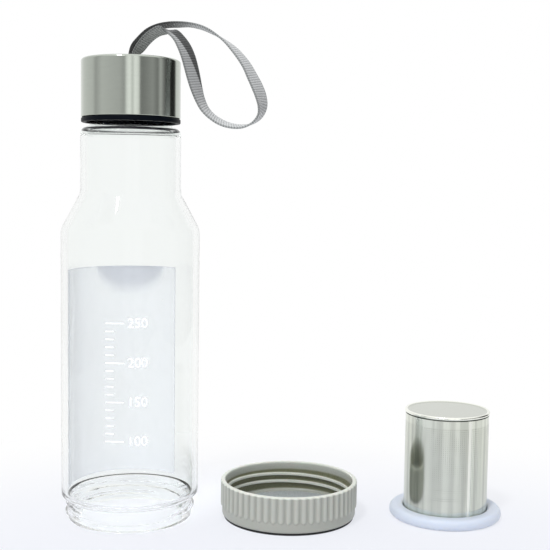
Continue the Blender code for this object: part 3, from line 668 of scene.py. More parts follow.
def white_print(tint):
    """Fired white ink with a slightly uneven layer and a faint painted glow."""
    made, graph = new_material("white_print")
    place = graph.object_place()
    speckle = graph.noise(place, 3800.0, 3.0)
    values = {
        "Base Color": graph.mix(speckle, shade(tint), tinted(tint, 0.93)),
        "Roughness": 0.42 + 0.2 * speckle,
        # Painted glow: the ink gives off a little light of its own
        "Emission Color": shade(tint),
        "Emission Strength": 0.35,
    }
    surface(graph, values, speckle, 0.2, 0.00002)
    return made


def brushed_steel(tint, x):
    """Steel brushed round its axis: fine rings on the side and on the top."""
    made, graph = new_material("brushed_steel")
    radius, angle, height = graph.round_place(x)
    rings = (height + radius) * 5200.0
    fine = graph.noise(graph.vector(angle * 2.2, 0.0, rings), 1.0, 3.0)
    broad = graph.noise(graph.vector(angle * 5.0, 0.0, rings * 0.16), 1.0, 2.0)
    wear = graph.noise(graph.vector(angle * 1.4, 0.0, height * 160.0), 2.0, 3.0)
    values = {
        "Base Color": graph.mix(fine * 0.6 + broad * 0.4, tinted(tint, 1.06), tinted(tint, 0.90)),
        "Metallic": 1.0,
        "Roughness": 0.07 + 0.06 * fine + 0.05 * wear,
    }
    surface(graph, values, fine * 0.7 + broad * 0.6, 0.14, 0.00005)
    return made


def basket_steel(tint, x, seam_angle, sizes, wall_top):
    """Bright sheet steel: upright drawing lines, a paler weld, a painted highlight on the bead and painted
    shade under it and on the end disc.
    """
    made, graph = new_material("basket_steel")
    radius, angle, height = graph.round_place(x)
    lines = graph.noise(graph.vector(angle * 95.0, radius * 900.0, height * 40.0), 1.0, 3.0)
    cloud = graph.noise(graph.vector(angle * 1.5, radius * 40.0, height * 45.0), 1.6, 2.0)
    streak = graph.noise(graph.vector(angle * 7.0, 0.0, height * 6.0), 1.0, 3.0)
    streak = graph.smooth_step(streak, 0.40, 0.68)
    from_seam = abs(angle - seam_angle)
    on_wall = height < wall_top
    seam = (1.0 - graph.smooth_step(from_seam, 0.012, 0.07)) * on_wall
    bead = graph.smooth_step(radius, sizes.radius - 1.5 * sizes.bead, sizes.radius - sizes.bead)
    # Painted shade in the crevice under the bead
    crevice = bead * (1.0 - graph.smooth_step(abs(height - wall_top - FIT_GAP), 0.0002, 0.0005))
    on_disc = height > wall_top + sizes.bead
    bead = bead * on_disc
    plain = graph.mix(lines * 0.6 + streak * on_wall * 0.8, tinted(tint, 1.04), tinted(tint, 0.74))
    plain = graph.mix(crevice * 0.6, plain, tinted(tint, 0.12))
    # Painted shade: the end disc is a darker copy of the wall's steel
    plain = graph.mix(on_disc, plain, tinted(tint, 0.80))
    values = {
        # Painted highlight on the bead, and the paler weld
        "Base Color": graph.mix(graph.maximum(seam * 0.8, bead), plain, tinted(tint, 1.3)),
        "Metallic": 1.0,
        "Roughness": 0.10 + 0.07 * lines + 0.05 * cloud + 0.15 * seam,
    }
    surface(graph, values, lines + seam, 0.10, 0.00004)
    return made


def black_plastic(tint):
    """Moulded black plastic with a fine grain and paler rubbed spots."""
    made, graph = new_material("black_plastic")
    place = graph.object_place()
    grain = graph.noise(place, 2400.0, 2.0)
    rubbed = graph.smooth_step(graph.noise(place, 70.0, 3.0), 0.55, 0.75)
    values = {
        "Base Color": graph.mix(rubbed, shade(tint), tinted(tint, 1.8)),
        "Roughness": 0.34 + 0.12 * grain + 0.10 * rubbed,
        "Specular IOR Level": 0.06,
    }
    surface(graph, values, grain, 0.12, 0.00004)
    return made


def grey_plastic(tint, groove_shade_tint, floor_tint, x, sizes):
    """Satin moulded plastic: painted highlights on crests, rim and upper inside; painted shade between ribs
    and threads.
    """
    made, graph = new_material("grey_plastic")
    radius, _, height = graph.round_place(x)
    crest = sizes.radius + sizes.rib_depth
    bore = sizes.radius - sizes.wall
    thread_top = sizes.height - sizes.thread_start
    thread_bottom = thread_top - sizes.pitch * (sizes.thread_turns + 0.5)
    place = graph.object_place()
    grain = graph.noise(place, 2100.0, 3.0)
    cloud = graph.noise(place, 55.0, 2.0)
    # Paler rib crests: rubbing wear and a painted highlight
    rubbed = graph.smooth_step(radius, crest - sizes.rib_depth, crest) * (0.6 + 0.4 * cloud)
    among_ribs = graph.smooth_step(height, sizes.pad_proud + sizes.band, sizes.pad_proud + sizes.band + 0.003)
    # Painted shade between the ribs
    valley_shade = graph.smooth_step(radius, sizes.radius - 0.0001, sizes.radius) * among_ribs
    valley_shade = valley_shade * (1.0 - graph.smooth_step(radius, sizes.radius, crest - sizes.rib_depth * 0.1))
    # Painted shade between the threads inside
    groove_shade_mask = graph.smooth_step(radius, bore - sizes.thread_depth * 0.7, bore - sizes.thread_depth * 0.25)
    groove_shade_mask = groove_shade_mask * (1.0 - graph.smooth_step(radius, bore + 0.0001, bore + 0.0003))
    among_threads = graph.smooth_step(height, thread_bottom, thread_bottom + 0.001)
    among_threads = among_threads * (1.0 - graph.smooth_step(height, thread_top - 0.001, thread_top + 0.0005))
    body = graph.mix(grain * 0.5 + cloud * 0.5, tinted(tint, 1.03), tinted(tint, 0.95))
    body = graph.mix(valley_shade * 0.25, body, tinted(tint, 0.5))
    # Painted highlight on the crest of the thread inside and on the upper inside wall
    inside = 1.0 - graph.smooth_step(radius, bore + 0.0001, bore + 0.0003)
    thread = inside * graph.smooth_step(radius, bore - sizes.thread_depth * 1.2, bore - sizes.thread_depth)
    upper = inside * graph.smooth_step(height, sizes.height - 0.003, sizes.height)
    body = graph.mix(thread * among_threads + upper * 0.5, body, tinted(tint, 1.55))
    body = graph.mix(groove_shade_mask * among_threads * 0.9, body, shade(groove_shade_tint))
    on_floor = (1.0 - graph.smooth_step(radius, bore - 0.004, bore - 0.002)) * (height > sizes.floor)
    body = graph.mix(on_floor * 0.8, body, shade(floor_tint))
    # Painted highlight along the rim
    rim = graph.smooth_step(height, sizes.height - 0.0011, sizes.height - 0.0004)
    values = {
        "Base Color": graph.mix(graph.maximum(rubbed * 0.3, rim), body, tinted(tint, 1.85)),
        "Roughness": 0.34 + 0.12 * grain - 0.12 * graph.maximum(rubbed, inside),
        "Subsurface Weight": 0.06,
        "Subsurface Scale": 0.001,
    }
    surface(graph, values, grain, 0.10, 0.00004)
    return made


def black_rubber(tint):
    """Matt rubber with a dusty grain."""
    made, graph = new_material("black_rubber")
    place = graph.object_place()
    grain = graph.noise(place, 1800.0, 4.0)
    values = {
        "Base Color": graph.mix(grain, shade(tint), tinted(tint, 2.2)),
        "Roughness": 0.62 + 0.2 * grain,
    }
    surface(graph, values, grain, 0.25, 0.00006)
    return made


def clear_silicone(tint):
    """Bluish silicone that light enters, with a soft satin skin."""
    made, graph = new_material("clear_silicone")
    place = graph.object_place()
    cloud = graph.noise(place, 60.0, 2.0)
    grain = graph.noise(place, 1500.0, 2.0)
    values = {
        "Base Color": graph.mix(cloud, tinted(tint, 1.03), tinted(tint, 0.95)),
        "Roughness": 0.30 + 0.12 * grain + 0.06 * cloud,
        "Subsurface Weight": 0.7,
        "Subsurface Radius": (0.8, 0.9, 1.0),
        "Subsurface Scale": 0.004,
        "IOR": 1.41,
    }
    surface(graph, values, grain, 0.08, 0.00004)
    return made


def woven_webbing(tint, edge_tint, sizes):
    """Webbing by its own map of metres across and along: cross ribs, warp yarns, dark selvedges, painted
    light and shade along the run and a painted crease shade.
    """
    made, graph = new_material("woven_webbing")
    place = graph.node("ShaderNodeUVMap", {"uv_map": "weave"})
    across, along, _ = graph.parts(place)
    # Painted light and shade along the run
    run_length = STRAP_PAINTED_TONES[-1][0]
    stops = [(run / run_length, grey) for run, grey in STRAP_PAINTED_TONES]
    tone = graph.ramp(along / run_length, stops)
    # Painted shade on the falling strand beyond a crease that leans across it
    half = sizes.width / 2
    lean = 1.5 * half / (sizes.shade_end - sizes.shade_start)
    beyond = graph.smooth_step(across - (along - sizes.shade_start) * lean + half / 2, -0.0002, 0.0003)
    shaded = beyond * graph.smooth_step(along, sizes.shade_start - 0.004, sizes.shade_start)
    shaded = shaded * (along < sizes.shade_end)
    rib = abs(graph.math("SINE", along * (math.pi / sizes.rib_pitch)))
    yarn = abs(graph.math("SINE", across * (math.pi / sizes.yarn_pitch) + rib * 0.8))
    fuzz = graph.noise(graph.vector(across * 9000.0, along * 3500.0, 0.0), 1.0, 3.0)
    shadow = graph.clamp(1.0 - 1.25 * rib)
    inner_edge = sizes.width / 2 - sizes.selvedge
    edge = graph.smooth_step(abs(across), inner_edge - 0.0002, inner_edge + 0.0002)
    cloth = graph.mix(graph.clamp(shadow * 0.9 + fuzz * 0.3), tinted(tint, 1.10), tinted(tint, 0.42))
    thread = graph.mix(yarn, tinted(tint, 0.88), tinted(tint, 1.05))
    body = graph.mix(0.35, cloth, thread)
    edge_body = graph.mix(rib, shade(edge_tint), tinted(edge_tint, 2.4))
    body = graph.mix(shaded * 0.92, body, tinted(edge_tint, 0.4))
    body = graph.mix(edge * 0.8, body, edge_body)
    values = {
        "Base Color": graph.mix(1.0, body, tone, "MULTIPLY"),
        "Roughness": 0.72 + 0.18 * fuzz,
        "Sheen Weight": 0.25,
        "Sheen Roughness": 0.5,
    }
    surface(graph, values, rib * 0.8 + yarn * 0.4 + fuzz * 0.2, 0.45, 0.00012)
    return made


def geometry_tree(name, numbers, counts=()):
    """A Geometry Nodes tree with its geometry, material and size inputs, and the terms of those inputs."""
    tree = bpy.data.node_groups.new(name, "GeometryNodeTree")
    tree.is_modifier = True
    tree.interface.new_socket("Geometry", in_out="INPUT", socket_type="NodeSocketGeometry")
    tree.interface.new_socket("Material", in_out="INPUT", socket_type="NodeSocketMaterial")
    for size in numbers:
        tree.interface.new_socket(size, in_out="INPUT", socket_type="NodeSocketFloat")
    for size in counts:
        tree.interface.new_socket(size, in_out="INPUT", socket_type="NodeSocketInt")
    tree.interface.new_socket("Geometry", in_out="OUTPUT", socket_type="NodeSocketGeometry")
    graph = Graph(tree)
    group = tree.nodes.new("NodeGroupInput")
    return graph, {socket.name: Term(graph, socket) for socket in group.outputs if socket.name}


def end_tree(graph, geometry, inputs):
    """Ends a tree in real geometry with its material."""
    real = graph.node("GeometryNodeRealizeInstances", None, {"Geometry": geometry})
    dressed = graph.node("GeometryNodeSetMaterial", None, {"Geometry": real, "Material": inputs["Material"]})
    graph.node("NodeGroupOutput", None, {"Geometry": dressed})
    return graph.tree


def round_position(graph):
    """Position of each point with its radius and its angle about the Z axis."""
    x, y, z = graph.parts(graph.node("GeometryNodeInputPosition"))
    return x, y, z, (x * x + y * y) ** 0.5, graph.math("ARCTAN2", y, x)


def thread_tree():
    """Raises a right-handed screw thread, which winds down from its start, on a turned wall."""
    graph, inputs = geometry_tree("Screw Thread", THREAD_SIZES)
    x, y, z, radius, angle = round_position(graph)
    turn = graph.math("FRACT", (inputs["Start Angle"] - angle) / math.tau)
    slope = (inputs["Base"] - inputs["Crest"]) / 2.0
    ridge = None
    for lap in range(THREAD_CANDIDATES):
        turned_by = turn + float(lap)
        from_crest = abs(z - (inputs["Start Height"] - inputs["Pitch"] * turned_by))
        flank = graph.smooth_step((inputs["Base"] / 2.0 - from_crest) / slope, 0.0, 1.0)
        to_end = graph.minimum(turned_by, inputs["Turns"] - turned_by) / inputs["Fade Turns"]
        lap_ridge = flank * graph.clamp(to_end) ** 0.5
        ridge = lap_ridge if ridge is None else graph.maximum(ridge, lap_ridge)
    on_wall = abs(radius - inputs["Wall Radius"]) < MERGE_DISTANCE
    stretch = 1.0 + on_wall * ridge * inputs["Depth"] / radius
    shaped = graph.moved(inputs["Geometry"], graph.vector(x * stretch, y * stretch, z))
    return end_tree(graph, shaped, inputs)


def add_thread(target, tree, material, *sizes):
    """Raises a screw thread on a turned wall, with the thread tree's sizes in their order."""
    add_nodes(target, tree, {"Material": material} | dict(zip(THREAD_SIZES, sizes)))


def rib_tree():
    """Raises rounded grip ribs on the outside of a turned wall, between their foot and the rim."""
    graph, inputs = geometry_tree("Grip Ribs", ("Lowest", "Fade", "Wall Radius", "Edge", "Depth"), ("Count",))
    x, y, z, radius, angle = round_position(graph)
    wave = (0.5 + 0.5 * graph.math("COSINE", angle * inputs["Count"])) ** 0.8
    lowest = inputs["Lowest"] + (1.0 - wave) * inputs["Fade"]
    rise = graph.smooth_step(z, lowest, lowest + inputs["Fade"])
    outside = radius > inputs["Wall Radius"] - inputs["Edge"]
    stretch = 1.0 + outside * rise * wave * inputs["Depth"] / radius
    shaped = graph.moved(inputs["Geometry"], graph.vector(x * stretch, y * stretch, z))
    return end_tree(graph, shaped, inputs)


def roll(graph, geometry, radius, front_angle):
    """Rolls flat work in the XZ plane round the Z axis, outer side out."""
    x, _, z = graph.parts(graph.node("GeometryNodeInputPosition"))
    angle = x / radius + front_angle
    rolled = graph.vector(radius * graph.math("COSINE", angle), radius * graph.math("SINE", angle), z)
    return graph.moved(geometry, rolled)


def perforation_tree():
    """Lays punched tiles in rows, with plain ones on both borders and the seam, and rolls them to a tube."""
    names = ("Radius", "Bottom", "Height", "Border", "Seam Angle")
    graph, inputs = geometry_tree("Perforated Tube", names, ("Columns", "Rows"))
    lanes = inputs["Rows"] + 2.0
    index = graph.node("GeometryNodeInputIndex")
    column = graph.math("FLOOR", (index + 0.5) / lanes)
    row = index - column * lanes
    tile_width = math.tau * inputs["Radius"] / inputs["Columns"]
    tile_height = (inputs["Height"] - 2.0 * inputs["Border"]) / inputs["Rows"]
    is_low = row < 0.5
    is_high = row > inputs["Rows"] + 0.5
    is_border = is_low + is_high
    from_bottom = (
        (1.0 - is_border) * (inputs["Border"] + (row - 0.5) * tile_height)
        + is_low * inputs["Border"] / 2.0
        + is_high * (inputs["Height"] - inputs["Border"] / 2.0)
    )
    tall = is_border * inputs["Border"] + (1.0 - is_border) * tile_height
    place = graph.vector(column * tile_width, 0.0, inputs["Bottom"] + from_bottom)
    points = graph.node("GeometryNodePoints", None, {"Count": inputs["Columns"] * lanes, "Position": place})
    is_plain = graph.maximum(is_border, column < 0.5)
    values = {"Geometry": inputs["Geometry"], "Selection": graph.attribute("plain") > 0.5}
    plain_tile = graph.node("GeometryNodeSeparateGeometry", None, values)
    laid = []
    for chosen, tile in ((is_plain, plain_tile), (1.0 - is_plain, plain_tile.other("Inverted"))):
        size = graph.vector(tile_width, 1.0, tall)
        values = {"Points": points, "Selection": chosen, "Instance": tile, "Scale": size}
        laid.append(graph.node("GeometryNodeInstanceOnPoints", None, values))
    tube = roll(graph, graph.as_mesh(laid), inputs["Radius"], inputs["Seam Angle"])
    welded = graph.node("GeometryNodeMergeByDistance", None, {"Geometry": tube, "Distance": MERGE_DISTANCE})
    return end_tree(graph, welded, inputs)


def weave_tree():
    """Sinks the furrows between woven ribs into a ribbon, by its stored run and lift."""
    graph, inputs = geometry_tree("Woven Ribs", ("Pitch", "Depth"))
    rib = abs(graph.math("SINE", graph.attribute("run") * math.pi / inputs["Pitch"])) ** 0.6
    values = {0: graph.attribute("lift", "FLOAT_VECTOR"), "Scale": (rib - 1.0) * inputs["Depth"]}
    sink = graph.node("ShaderNodeVectorMath", {"operation": "SCALE"}, values)
    shaped = graph.node("GeometryNodeSetPosition", None, {"Geometry": inputs["Geometry"], "Offset": sink})
    return end_tree(graph, shaped, inputs)


def scale_tree():
    """Adds evenly spaced ticks, of which every few are long, to flat numbers and rolls them on the glass."""
    names = ("Radius", "Front Angle", "First Height", "Spacing", "Line Width", "Short", "Long")
    graph, inputs = geometry_tree("Volume Scale", names, ("Ticks", "Long Every"))
    index = graph.node("GeometryNodeInputIndex")
    place = graph.vector(0.0, 0.0, inputs["First Height"] + index * inputs["Spacing"])
    points = graph.node("GeometryNodePoints", None, {"Count": inputs["Ticks"], "Position": place})
    is_long = graph.math("FLOORED_MODULO", index, inputs["Long Every"]) < 0.5
    wide = inputs["Short"] + is_long * (inputs["Long"] - inputs["Short"])
    line = graph.node("GeometryNodeMeshGrid", None, {"Vertices X": 9, "Vertices Y": 2})
    values = {"Geometry": line, "Translation": (0.5, 0.0, 0.0), "Rotation": (math.pi / 2, 0.0, 0.0)}
    bar = graph.node("GeometryNodeTransform", None, values)
    size = graph.vector(wide, 1.0, inputs["Line Width"])
    values = {"Points": points, "Instance": bar, "Scale": size}
    ticks = graph.node("GeometryNodeInstanceOnPoints", None, values)
    printed = graph.as_mesh([ticks, inputs["Geometry"]])
    return end_tree(graph, roll(graph, printed, inputs["Radius"], inputs["Front Angle"]), inputs)


def add_nodes(target, tree, values):
    """Adds a Geometry Nodes modifier with its inputs set by their sockets' identifiers."""
    step = target.modifiers.new(tree.name, "NODES")
    step.node_group = tree
    for item in tree.interface.items_tree:
        if item.in_out == "INPUT" and item.name in values:
            step[item.identifier] = values[item.name]


def arc(centre, radius, first_degrees, last_degrees, steps=6, rise=None):
    """Points of an arc in the profile plane, both ends included, oval where its rise is another one."""
    rise = rise or radius
    points = []
    for i in range(steps + 1):
        turn = math.radians(first_degrees + (last_degrees - first_degrees) * i / steps)
        points.append((centre[0] + radius * math.cos(turn), centre[1] + rise * math.sin(turn)))
    return points


def rounded(corner, radius, first_degrees, last_degrees, steps=6):
    """Points of the quarter turn that rounds a corner of the profile."""
    middle = math.radians((first_degrees + last_degrees) / 2)
    across = corner[0] - math.copysign(radius, math.cos(middle))
    up = corner[1] - math.copysign(radius, math.sin(middle))
    return arc((across, up), radius, first_degrees, last_degrees, steps)


def eased(start, end, steps):
    """Points of an S-curve that leaves and arrives along Z, both ends included."""
    points = []
    for i in range(steps + 1):
        t = i / steps
        share = t * t * (3 - 2 * t)
        points.append((start[0] + (end[0] - start[0]) * share, start[1] + (end[1] - start[1]) * t))
    return points


def filleted_slope(start, end, fillet, steps):
    """Points of a straight slope that leaves and arrives along Z through two equal fillets."""
    side = math.copysign(1, end[0] - start[0])
    down = math.copysign(1, end[1] - start[1])
    width, height = abs(end[0] - start[0]), abs(end[1] - start[1])
    rest = width - 2 * fillet
    slope = math.sqrt(rest**2 + height**2 - 4 * fillet**2)
    turn = math.atan2(rest * slope + 2 * fillet * height, height * slope - 2 * fillet * rest)
    leaving = []
    arriving = []
    for i in range(steps + 1):
        part = turn * i / steps
        aside, along = fillet * (1 - math.cos(part)), fillet * math.sin(part)
        leaving.append((start[0] + side * aside, start[1] + down * along))
        arriving.append((end[0] - side * aside, end[1] - down * along))
    return leaving + arriving[::-1]


def straight(start, end, spacing=THREAD_SPACING):
    """Points of a straight run, both ends included, no further apart than the spacing."""
    steps = max(1, math.ceil(math.dist(start, end) / spacing))
    share = [i / steps for i in range(steps + 1)]
    return [(start[0] + (end[0] - start[0]) * s, start[1] + (end[1] - start[1]) * s) for s in share]


def joined(*runs):
    """One profile out of several runs, without repeated points."""
    points = []
    for run in runs:
        for point in run:
            if not points or math.dist(point, points[-1]) > MERGE_DISTANCE:
                points.append(point)
    return points


def placed(name, data):
    """A new object in the scene."""
    made = bpy.data.objects.new(name, data)
    bpy.context.scene.collection.objects.link(made)
    return made


def source_object(mesh):
    """An unfinished object in the scene, whose modifiers are still to be applied."""
    return placed("blank", mesh)


def mesh_from(shape, name):
    """A mesh out of a bmesh shape, which is freed."""
    made = bpy.data.meshes.new(name)
    shape.to_mesh(made)
    shape.free()
    return made


def thickened(blank, name, thickness):
    """Gives a sheet its thickness, inwards from its face."""
    layer = blank.modifiers.new(name, "SOLIDIFY")
    layer.thickness = thickness
    layer.offset = -1


def turned(profile, is_ring=True, columns=METAL_COLUMNS):
    """An unfinished round piece, from a profile down the outer side and up the inner one, or axis to axis."""
    points = len(profile)
    edges = [(i, i + 1) for i in range(points - 1)]
    if is_ring:
        edges.append((points - 1, 0))
    mesh = bpy.data.meshes.new("profile")
    mesh.from_pydata([(radius, 0, height) for radius, height in profile], edges, [])
    made = source_object(mesh)
    turn = made.modifiers.new("Turn", "SCREW")
    turn.axis = "Z"
    turn.angle = math.tau
    turn.steps = columns
    turn.render_steps = columns
    turn.use_merge_vertices = True
    turn.merge_threshold = MERGE_DISTANCE
    return made


def finished(source, name, material, body, replaced, x=0.0):
    """A plain mesh out of an unfinished object, in its place, with its finish and body."""
    graph = bpy.context.evaluated_depsgraph_get()
    mesh = bpy.data.meshes.new_from_object(
        source.evaluated_get(graph), preserve_all_data_layers=True, depsgraph=graph
    )
    bpy.data.objects.remove(source)
    mesh.name = name
    mesh.transform(Matrix.Translation((x, 0, 0)))
    mesh.materials.clear()
    mesh.materials.append(material)
    for face in mesh.polygons:
        face.material_index = 0
    for spare in ("run", "lift", "plain"):
        if spare in mesh.attributes:
            mesh.attributes.remove(mesh.attributes[spare])
    mesh.shade_smooth()
    mesh.set_sharp_from_angle(angle=math.radians(SMOOTH_DEGREES))
    if not mesh.polygons:
        raise RuntimeError(f"{name} has no faces")
    made = placed(name, mesh)
    if body:
        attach(made, body)
    if replaced:
        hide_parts(*replaced)
    return made


def dress(node, material):
    """Gives a CAD node that stays its finish."""
    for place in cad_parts[node].material_slots:
        place.material = material


def glass_profile(sizes):
    """The bottle's outer side from rim to foot, then its inner side from foot to rim."""
    neck_top = sizes.body_height + sizes.shoulder_height + sizes.neck_height
    shoulder_top = sizes.body_height + sizes.shoulder_height
    bore = sizes.finish_radius - sizes.finish_wall
    neck_bore = sizes.neck_radius - sizes.neck_wall
    body_bore = sizes.body_radius - sizes.wall
    mouth = sizes.foot_radius - sizes.foot_wall
    collar = sizes.neck_radius - sizes.finish_radius
    rim_base = RIM_HEIGHT - sizes.rim_round
    throat_top = sizes.throat_height + sizes.throat_rise
    step_top = sizes.foot_height + sizes.step_round
    outer = ((sizes.neck_radius, shoulder_top), (sizes.body_radius, sizes.body_height))
    outer_shoulder = filleted_slope(*outer, sizes.shoulder_fillet, 12)
    drop = sizes.shoulder_inner_drop
    inner = ((body_bore, sizes.body_height - drop), (neck_bore, shoulder_top - drop))
    inner_shoulder = filleted_slope(*inner, sizes.shoulder_fillet, 12)
    return joined(
        rounded((sizes.finish_radius, RIM_HEIGHT), sizes.rim_round, 90, 0),
        straight((sizes.finish_radius, rim_base), (sizes.finish_radius, neck_top + sizes.collar_height)),
        arc((sizes.finish_radius, neck_top), collar, 90, 0, 16, sizes.collar_height),
        straight((sizes.neck_radius, neck_top), (sizes.neck_radius, shoulder_top), WALL_SPACING),
        outer_shoulder,
        straight((sizes.body_radius, sizes.body_height), (sizes.body_radius, step_top), WALL_SPACING),
        rounded((sizes.body_radius, sizes.foot_height), sizes.step_round, 0, -90),
        straight((sizes.foot_radius, sizes.foot_height), (sizes.foot_radius, sizes.foot_round)),
        rounded((sizes.foot_radius, 0), sizes.foot_round, 0, -90, 8),
        rounded((mouth, 0), sizes.foot_round, -90, -180, 8),
        eased((mouth, sizes.throat_height), (body_bore, throat_top), 12),
        straight((body_bore, throat_top), inner_shoulder[0], WALL_SPACING),
        inner_shoulder,
        straight(inner_shoulder[-1], (neck_bore, neck_top - sizes.collar_inner_drop), WALL_SPACING),
        arc((bore, neck_top - sizes.collar_inner_drop), neck_bore - bore, 0, 90, 16, sizes.collar_height),
        rounded((bore, RIM_HEIGHT), sizes.rim_round, 180, 90),
    )


def curve_value(before, start, end, after, t):
    """One coordinate of the smooth curve between start and end, whose neighbours are before and after."""
    linear = end - before
    square = 2 * before - 5 * start + 4 * end - after
    cube = 3 * start - before - 3 * end + after
    return start + (linear * t + square * t**2 + cube * t**3) / 2


def spline(points, steps):
    """Points of a smooth curve through the given ones, with a number of steps between neighbours."""
    padded = [points[0], *points, points[-1]]
    made = []
    for neighbours in zip(padded, padded[1:], padded[2:], padded[3:]):
        for i in range(steps):
            made.append([curve_value(*values, i / steps) for values in zip(*neighbours)])
    made.append(list(points[-1]))
    return made


def evenly(points, spacing):
    """Points at an even spacing along a line of many, with what else they carry after their place."""
    runs = [0.0]
    for before, after in zip(points, points[1:]):
        runs.append(runs[-1] + math.dist(before[:3], after[:3]))
    rows = max(2, round(runs[-1] / spacing))
    made = []
    part = 0
    for i in range(rows + 1):
        run = runs[-1] * i / rows
        while part < len(points) - 2 and runs[part + 1] < run:
            part += 1
        share = (run - runs[part]) / (runs[part + 1] - runs[part])
        made.append([a + (b - a) * share for a, b in zip(points[part], points[part + 1])])
    return made, runs[-1] / rows


def ribbon_section(width, thickness, selvedge, hollow):
    """Points round a ribbon's section: place across and through it, and how much of the weave they take."""
    half = width / 2
    flat = half - selvedge
    points = []
    for side in (1, -1):
        for i in range(SECTION_STEPS + 1):
            across = side * flat * (2 * i / SECTION_STEPS - 1)
            is_inner = 0 < i < SECTION_STEPS
            sunk = hollow if is_inner else hollow * 0.4
            points.append((across, side * (thickness / 2 - sunk), side if is_inner else 0))
        for degrees in (60, 20, -20, -60):
            turn = math.radians(degrees)
            through = side * thickness / 2 * math.sin(turn)
            points.append((side * (flat + selvedge * math.cos(turn)), through, 0))
    return points


def ribbon(route, spacing, section, place):
    """An unfinished woven ribbon along a route of places and twists, with its run, lift and map."""
    rows, step = evenly(route, spacing)
    places = [Vector(row[:3]) for row in rows]
    verts = []
    lifts = []
    runs = []
    weave = []
    for i, middle in enumerate(places):
        along = (places[min(i + 1, len(places) - 1)] - places[max(i - 1, 0)]).normalized()
        outward = Vector((0, 1, 0)).cross(along).normalized()
        across = along.cross(outward).normalized()
        twist = math.radians(rows[i][3])
        flat = across * math.cos(twist) - outward * math.sin(twist)
        thick = outward * math.cos(twist) + across * math.sin(twist)
        for wide, through, taken in section:
            verts.append(middle + flat * wide + thick * through + place)
            lifts.append(thick * taken)
            runs.append(i * step)
            weave.append((wide, i * step))
    size = len(section)
    faces = [
        (i * size + j, i * size + (j + 1) % size, (i + 1) * size + (j + 1) % size, (i + 1) * size + j)
        for i in range(len(places) - 1)
        for j in range(size)
    ]
    faces.append(tuple(range(size)))
    faces.append(tuple(range(len(verts) - size, len(verts))))
    mesh = bpy.data.meshes.new("ribbon")
    mesh.from_pydata(verts, [], faces)
    mesh.attributes.new("run", "FLOAT", "POINT").data.foreach_set("value", runs)
    flat_lifts = [part for lift in lifts for part in lift]
    mesh.attributes.new("lift", "FLOAT_VECTOR", "POINT").data.foreach_set("vector", flat_lifts)
    chart = mesh.uv_layers.new(name="weave")
    for corner in mesh.loops:
        chart.data[corner.index].uv = weave[corner.vertex_index]
    outwards(mesh)
    return source_object(mesh)


def outwards(mesh):
    """Turns the faces of a closed mesh outwards."""
    shape = bmesh.new()
    shape.from_mesh(mesh)
    bmesh.ops.recalc_face_normals(shape, faces=shape.faces)
    shape.to_mesh(mesh)
    shape.free()


def tile_mesh(hole_share):
    """Two unit tiles in the XZ plane: a punched one and a plain one, which the attribute plain marks."""
    border = [(-0.5, 0), (-0.5, -0.5), (0.5, -0.5), (0.5, 0), (0.5, 0.5), (-0.5, 0.5)]
    corners = len(border)
    verts = [(x, 0, z) for x, z in border]
    for i in range(corners):
        turn = math.pi + math.tau * i / corners
        verts.append((math.cos(turn) * hole_share, 0, math.sin(turn) * hole_share))
    faces = []
    for i in range(corners):
        j = (i + 1) % corners
        faces.append((i, j, corners + j, corners + i))
    plain_start = len(verts)
    verts += [(x, 0, z) for x, z in border]
    faces.append(tuple(range(plain_start, plain_start + corners)))
    mesh = bpy.data.meshes.new("tile")
    mesh.from_pydata(verts, [], faces)
    marks = [float(i >= plain_start) for i in range(len(verts))]
    mesh.attributes.new("plain", "FLOAT", "POINT").data.foreach_set("value", marks)
    return mesh


def number_meshes(sizes, x):
    """Flat numbers in the XZ plane, each centred in height on its long tick and starting at x."""
    whole = bmesh.new()
    for i, volume in enumerate(SCALE_VOLUMES):
        text = bpy.data.curves.new("number", "FONT")
        text.body = str(volume)
        text.size = sizes.scale_text
        text.align_y = "CENTER"
        holder = source_object(text)
        graph = bpy.context.evaluated_depsgraph_get()
        mesh = bpy.data.meshes.new_from_object(holder.evaluated_get(graph))
        height = sizes.scale_first + i * sizes.scale_long_every * sizes.scale_spacing
        mesh.transform(Matrix.Translation((x, 0, height)) @ Matrix.Rotation(math.pi / 2, 4, "X"))
        whole.from_mesh(mesh)
        bpy.data.objects.remove(holder)
    bmesh.ops.remove_doubles(whole, verts=whole.verts, dist=MERGE_DISTANCE)
    return mesh_from(whole, "numbers")


class BOTTLE_OT_glass(Operator):
    """Turn the glass bottle and raise the screw threads of its neck and foot"""

    bl_idname = "bottle.glass"
    bl_label = "Glass Bottle"

    def execute(self, context):
        sizes = context.scene.bottle_sizes
        blank = turned(glass_profile(sizes), columns=GLASS_COLUMNS)
        colours = context.scene.finish_colours
        glass = clear_glass(colours.glass, colours.liner, sizes)
        tree = thread_tree()
        form = (sizes.thread_base, sizes.thread_crest, sizes.thread_fade)
        neck_start = RIM_HEIGHT - sizes.neck_thread_start
        neck = (sizes.neck_thread_turns, sizes.neck_thread_depth)
        add_thread(blank, tree, glass, sizes.finish_radius, neck_start, 0.0, sizes.pitch, *neck, *form)
        foot_start = sizes.foot_height - sizes.foot_thread_start
        foot = (sizes.foot_thread_turns, sizes.foot_thread_depth)
        place = (sizes.foot_radius, foot_start, sizes.foot_thread_angle)
        add_thread(blank, tree, glass, *place, sizes.pitch, *foot, *form)
        finished(blank, "glass_bottle", glass, "bottle", ["bottle_glass"], BOTTLE_X)
        return {"FINISHED"}


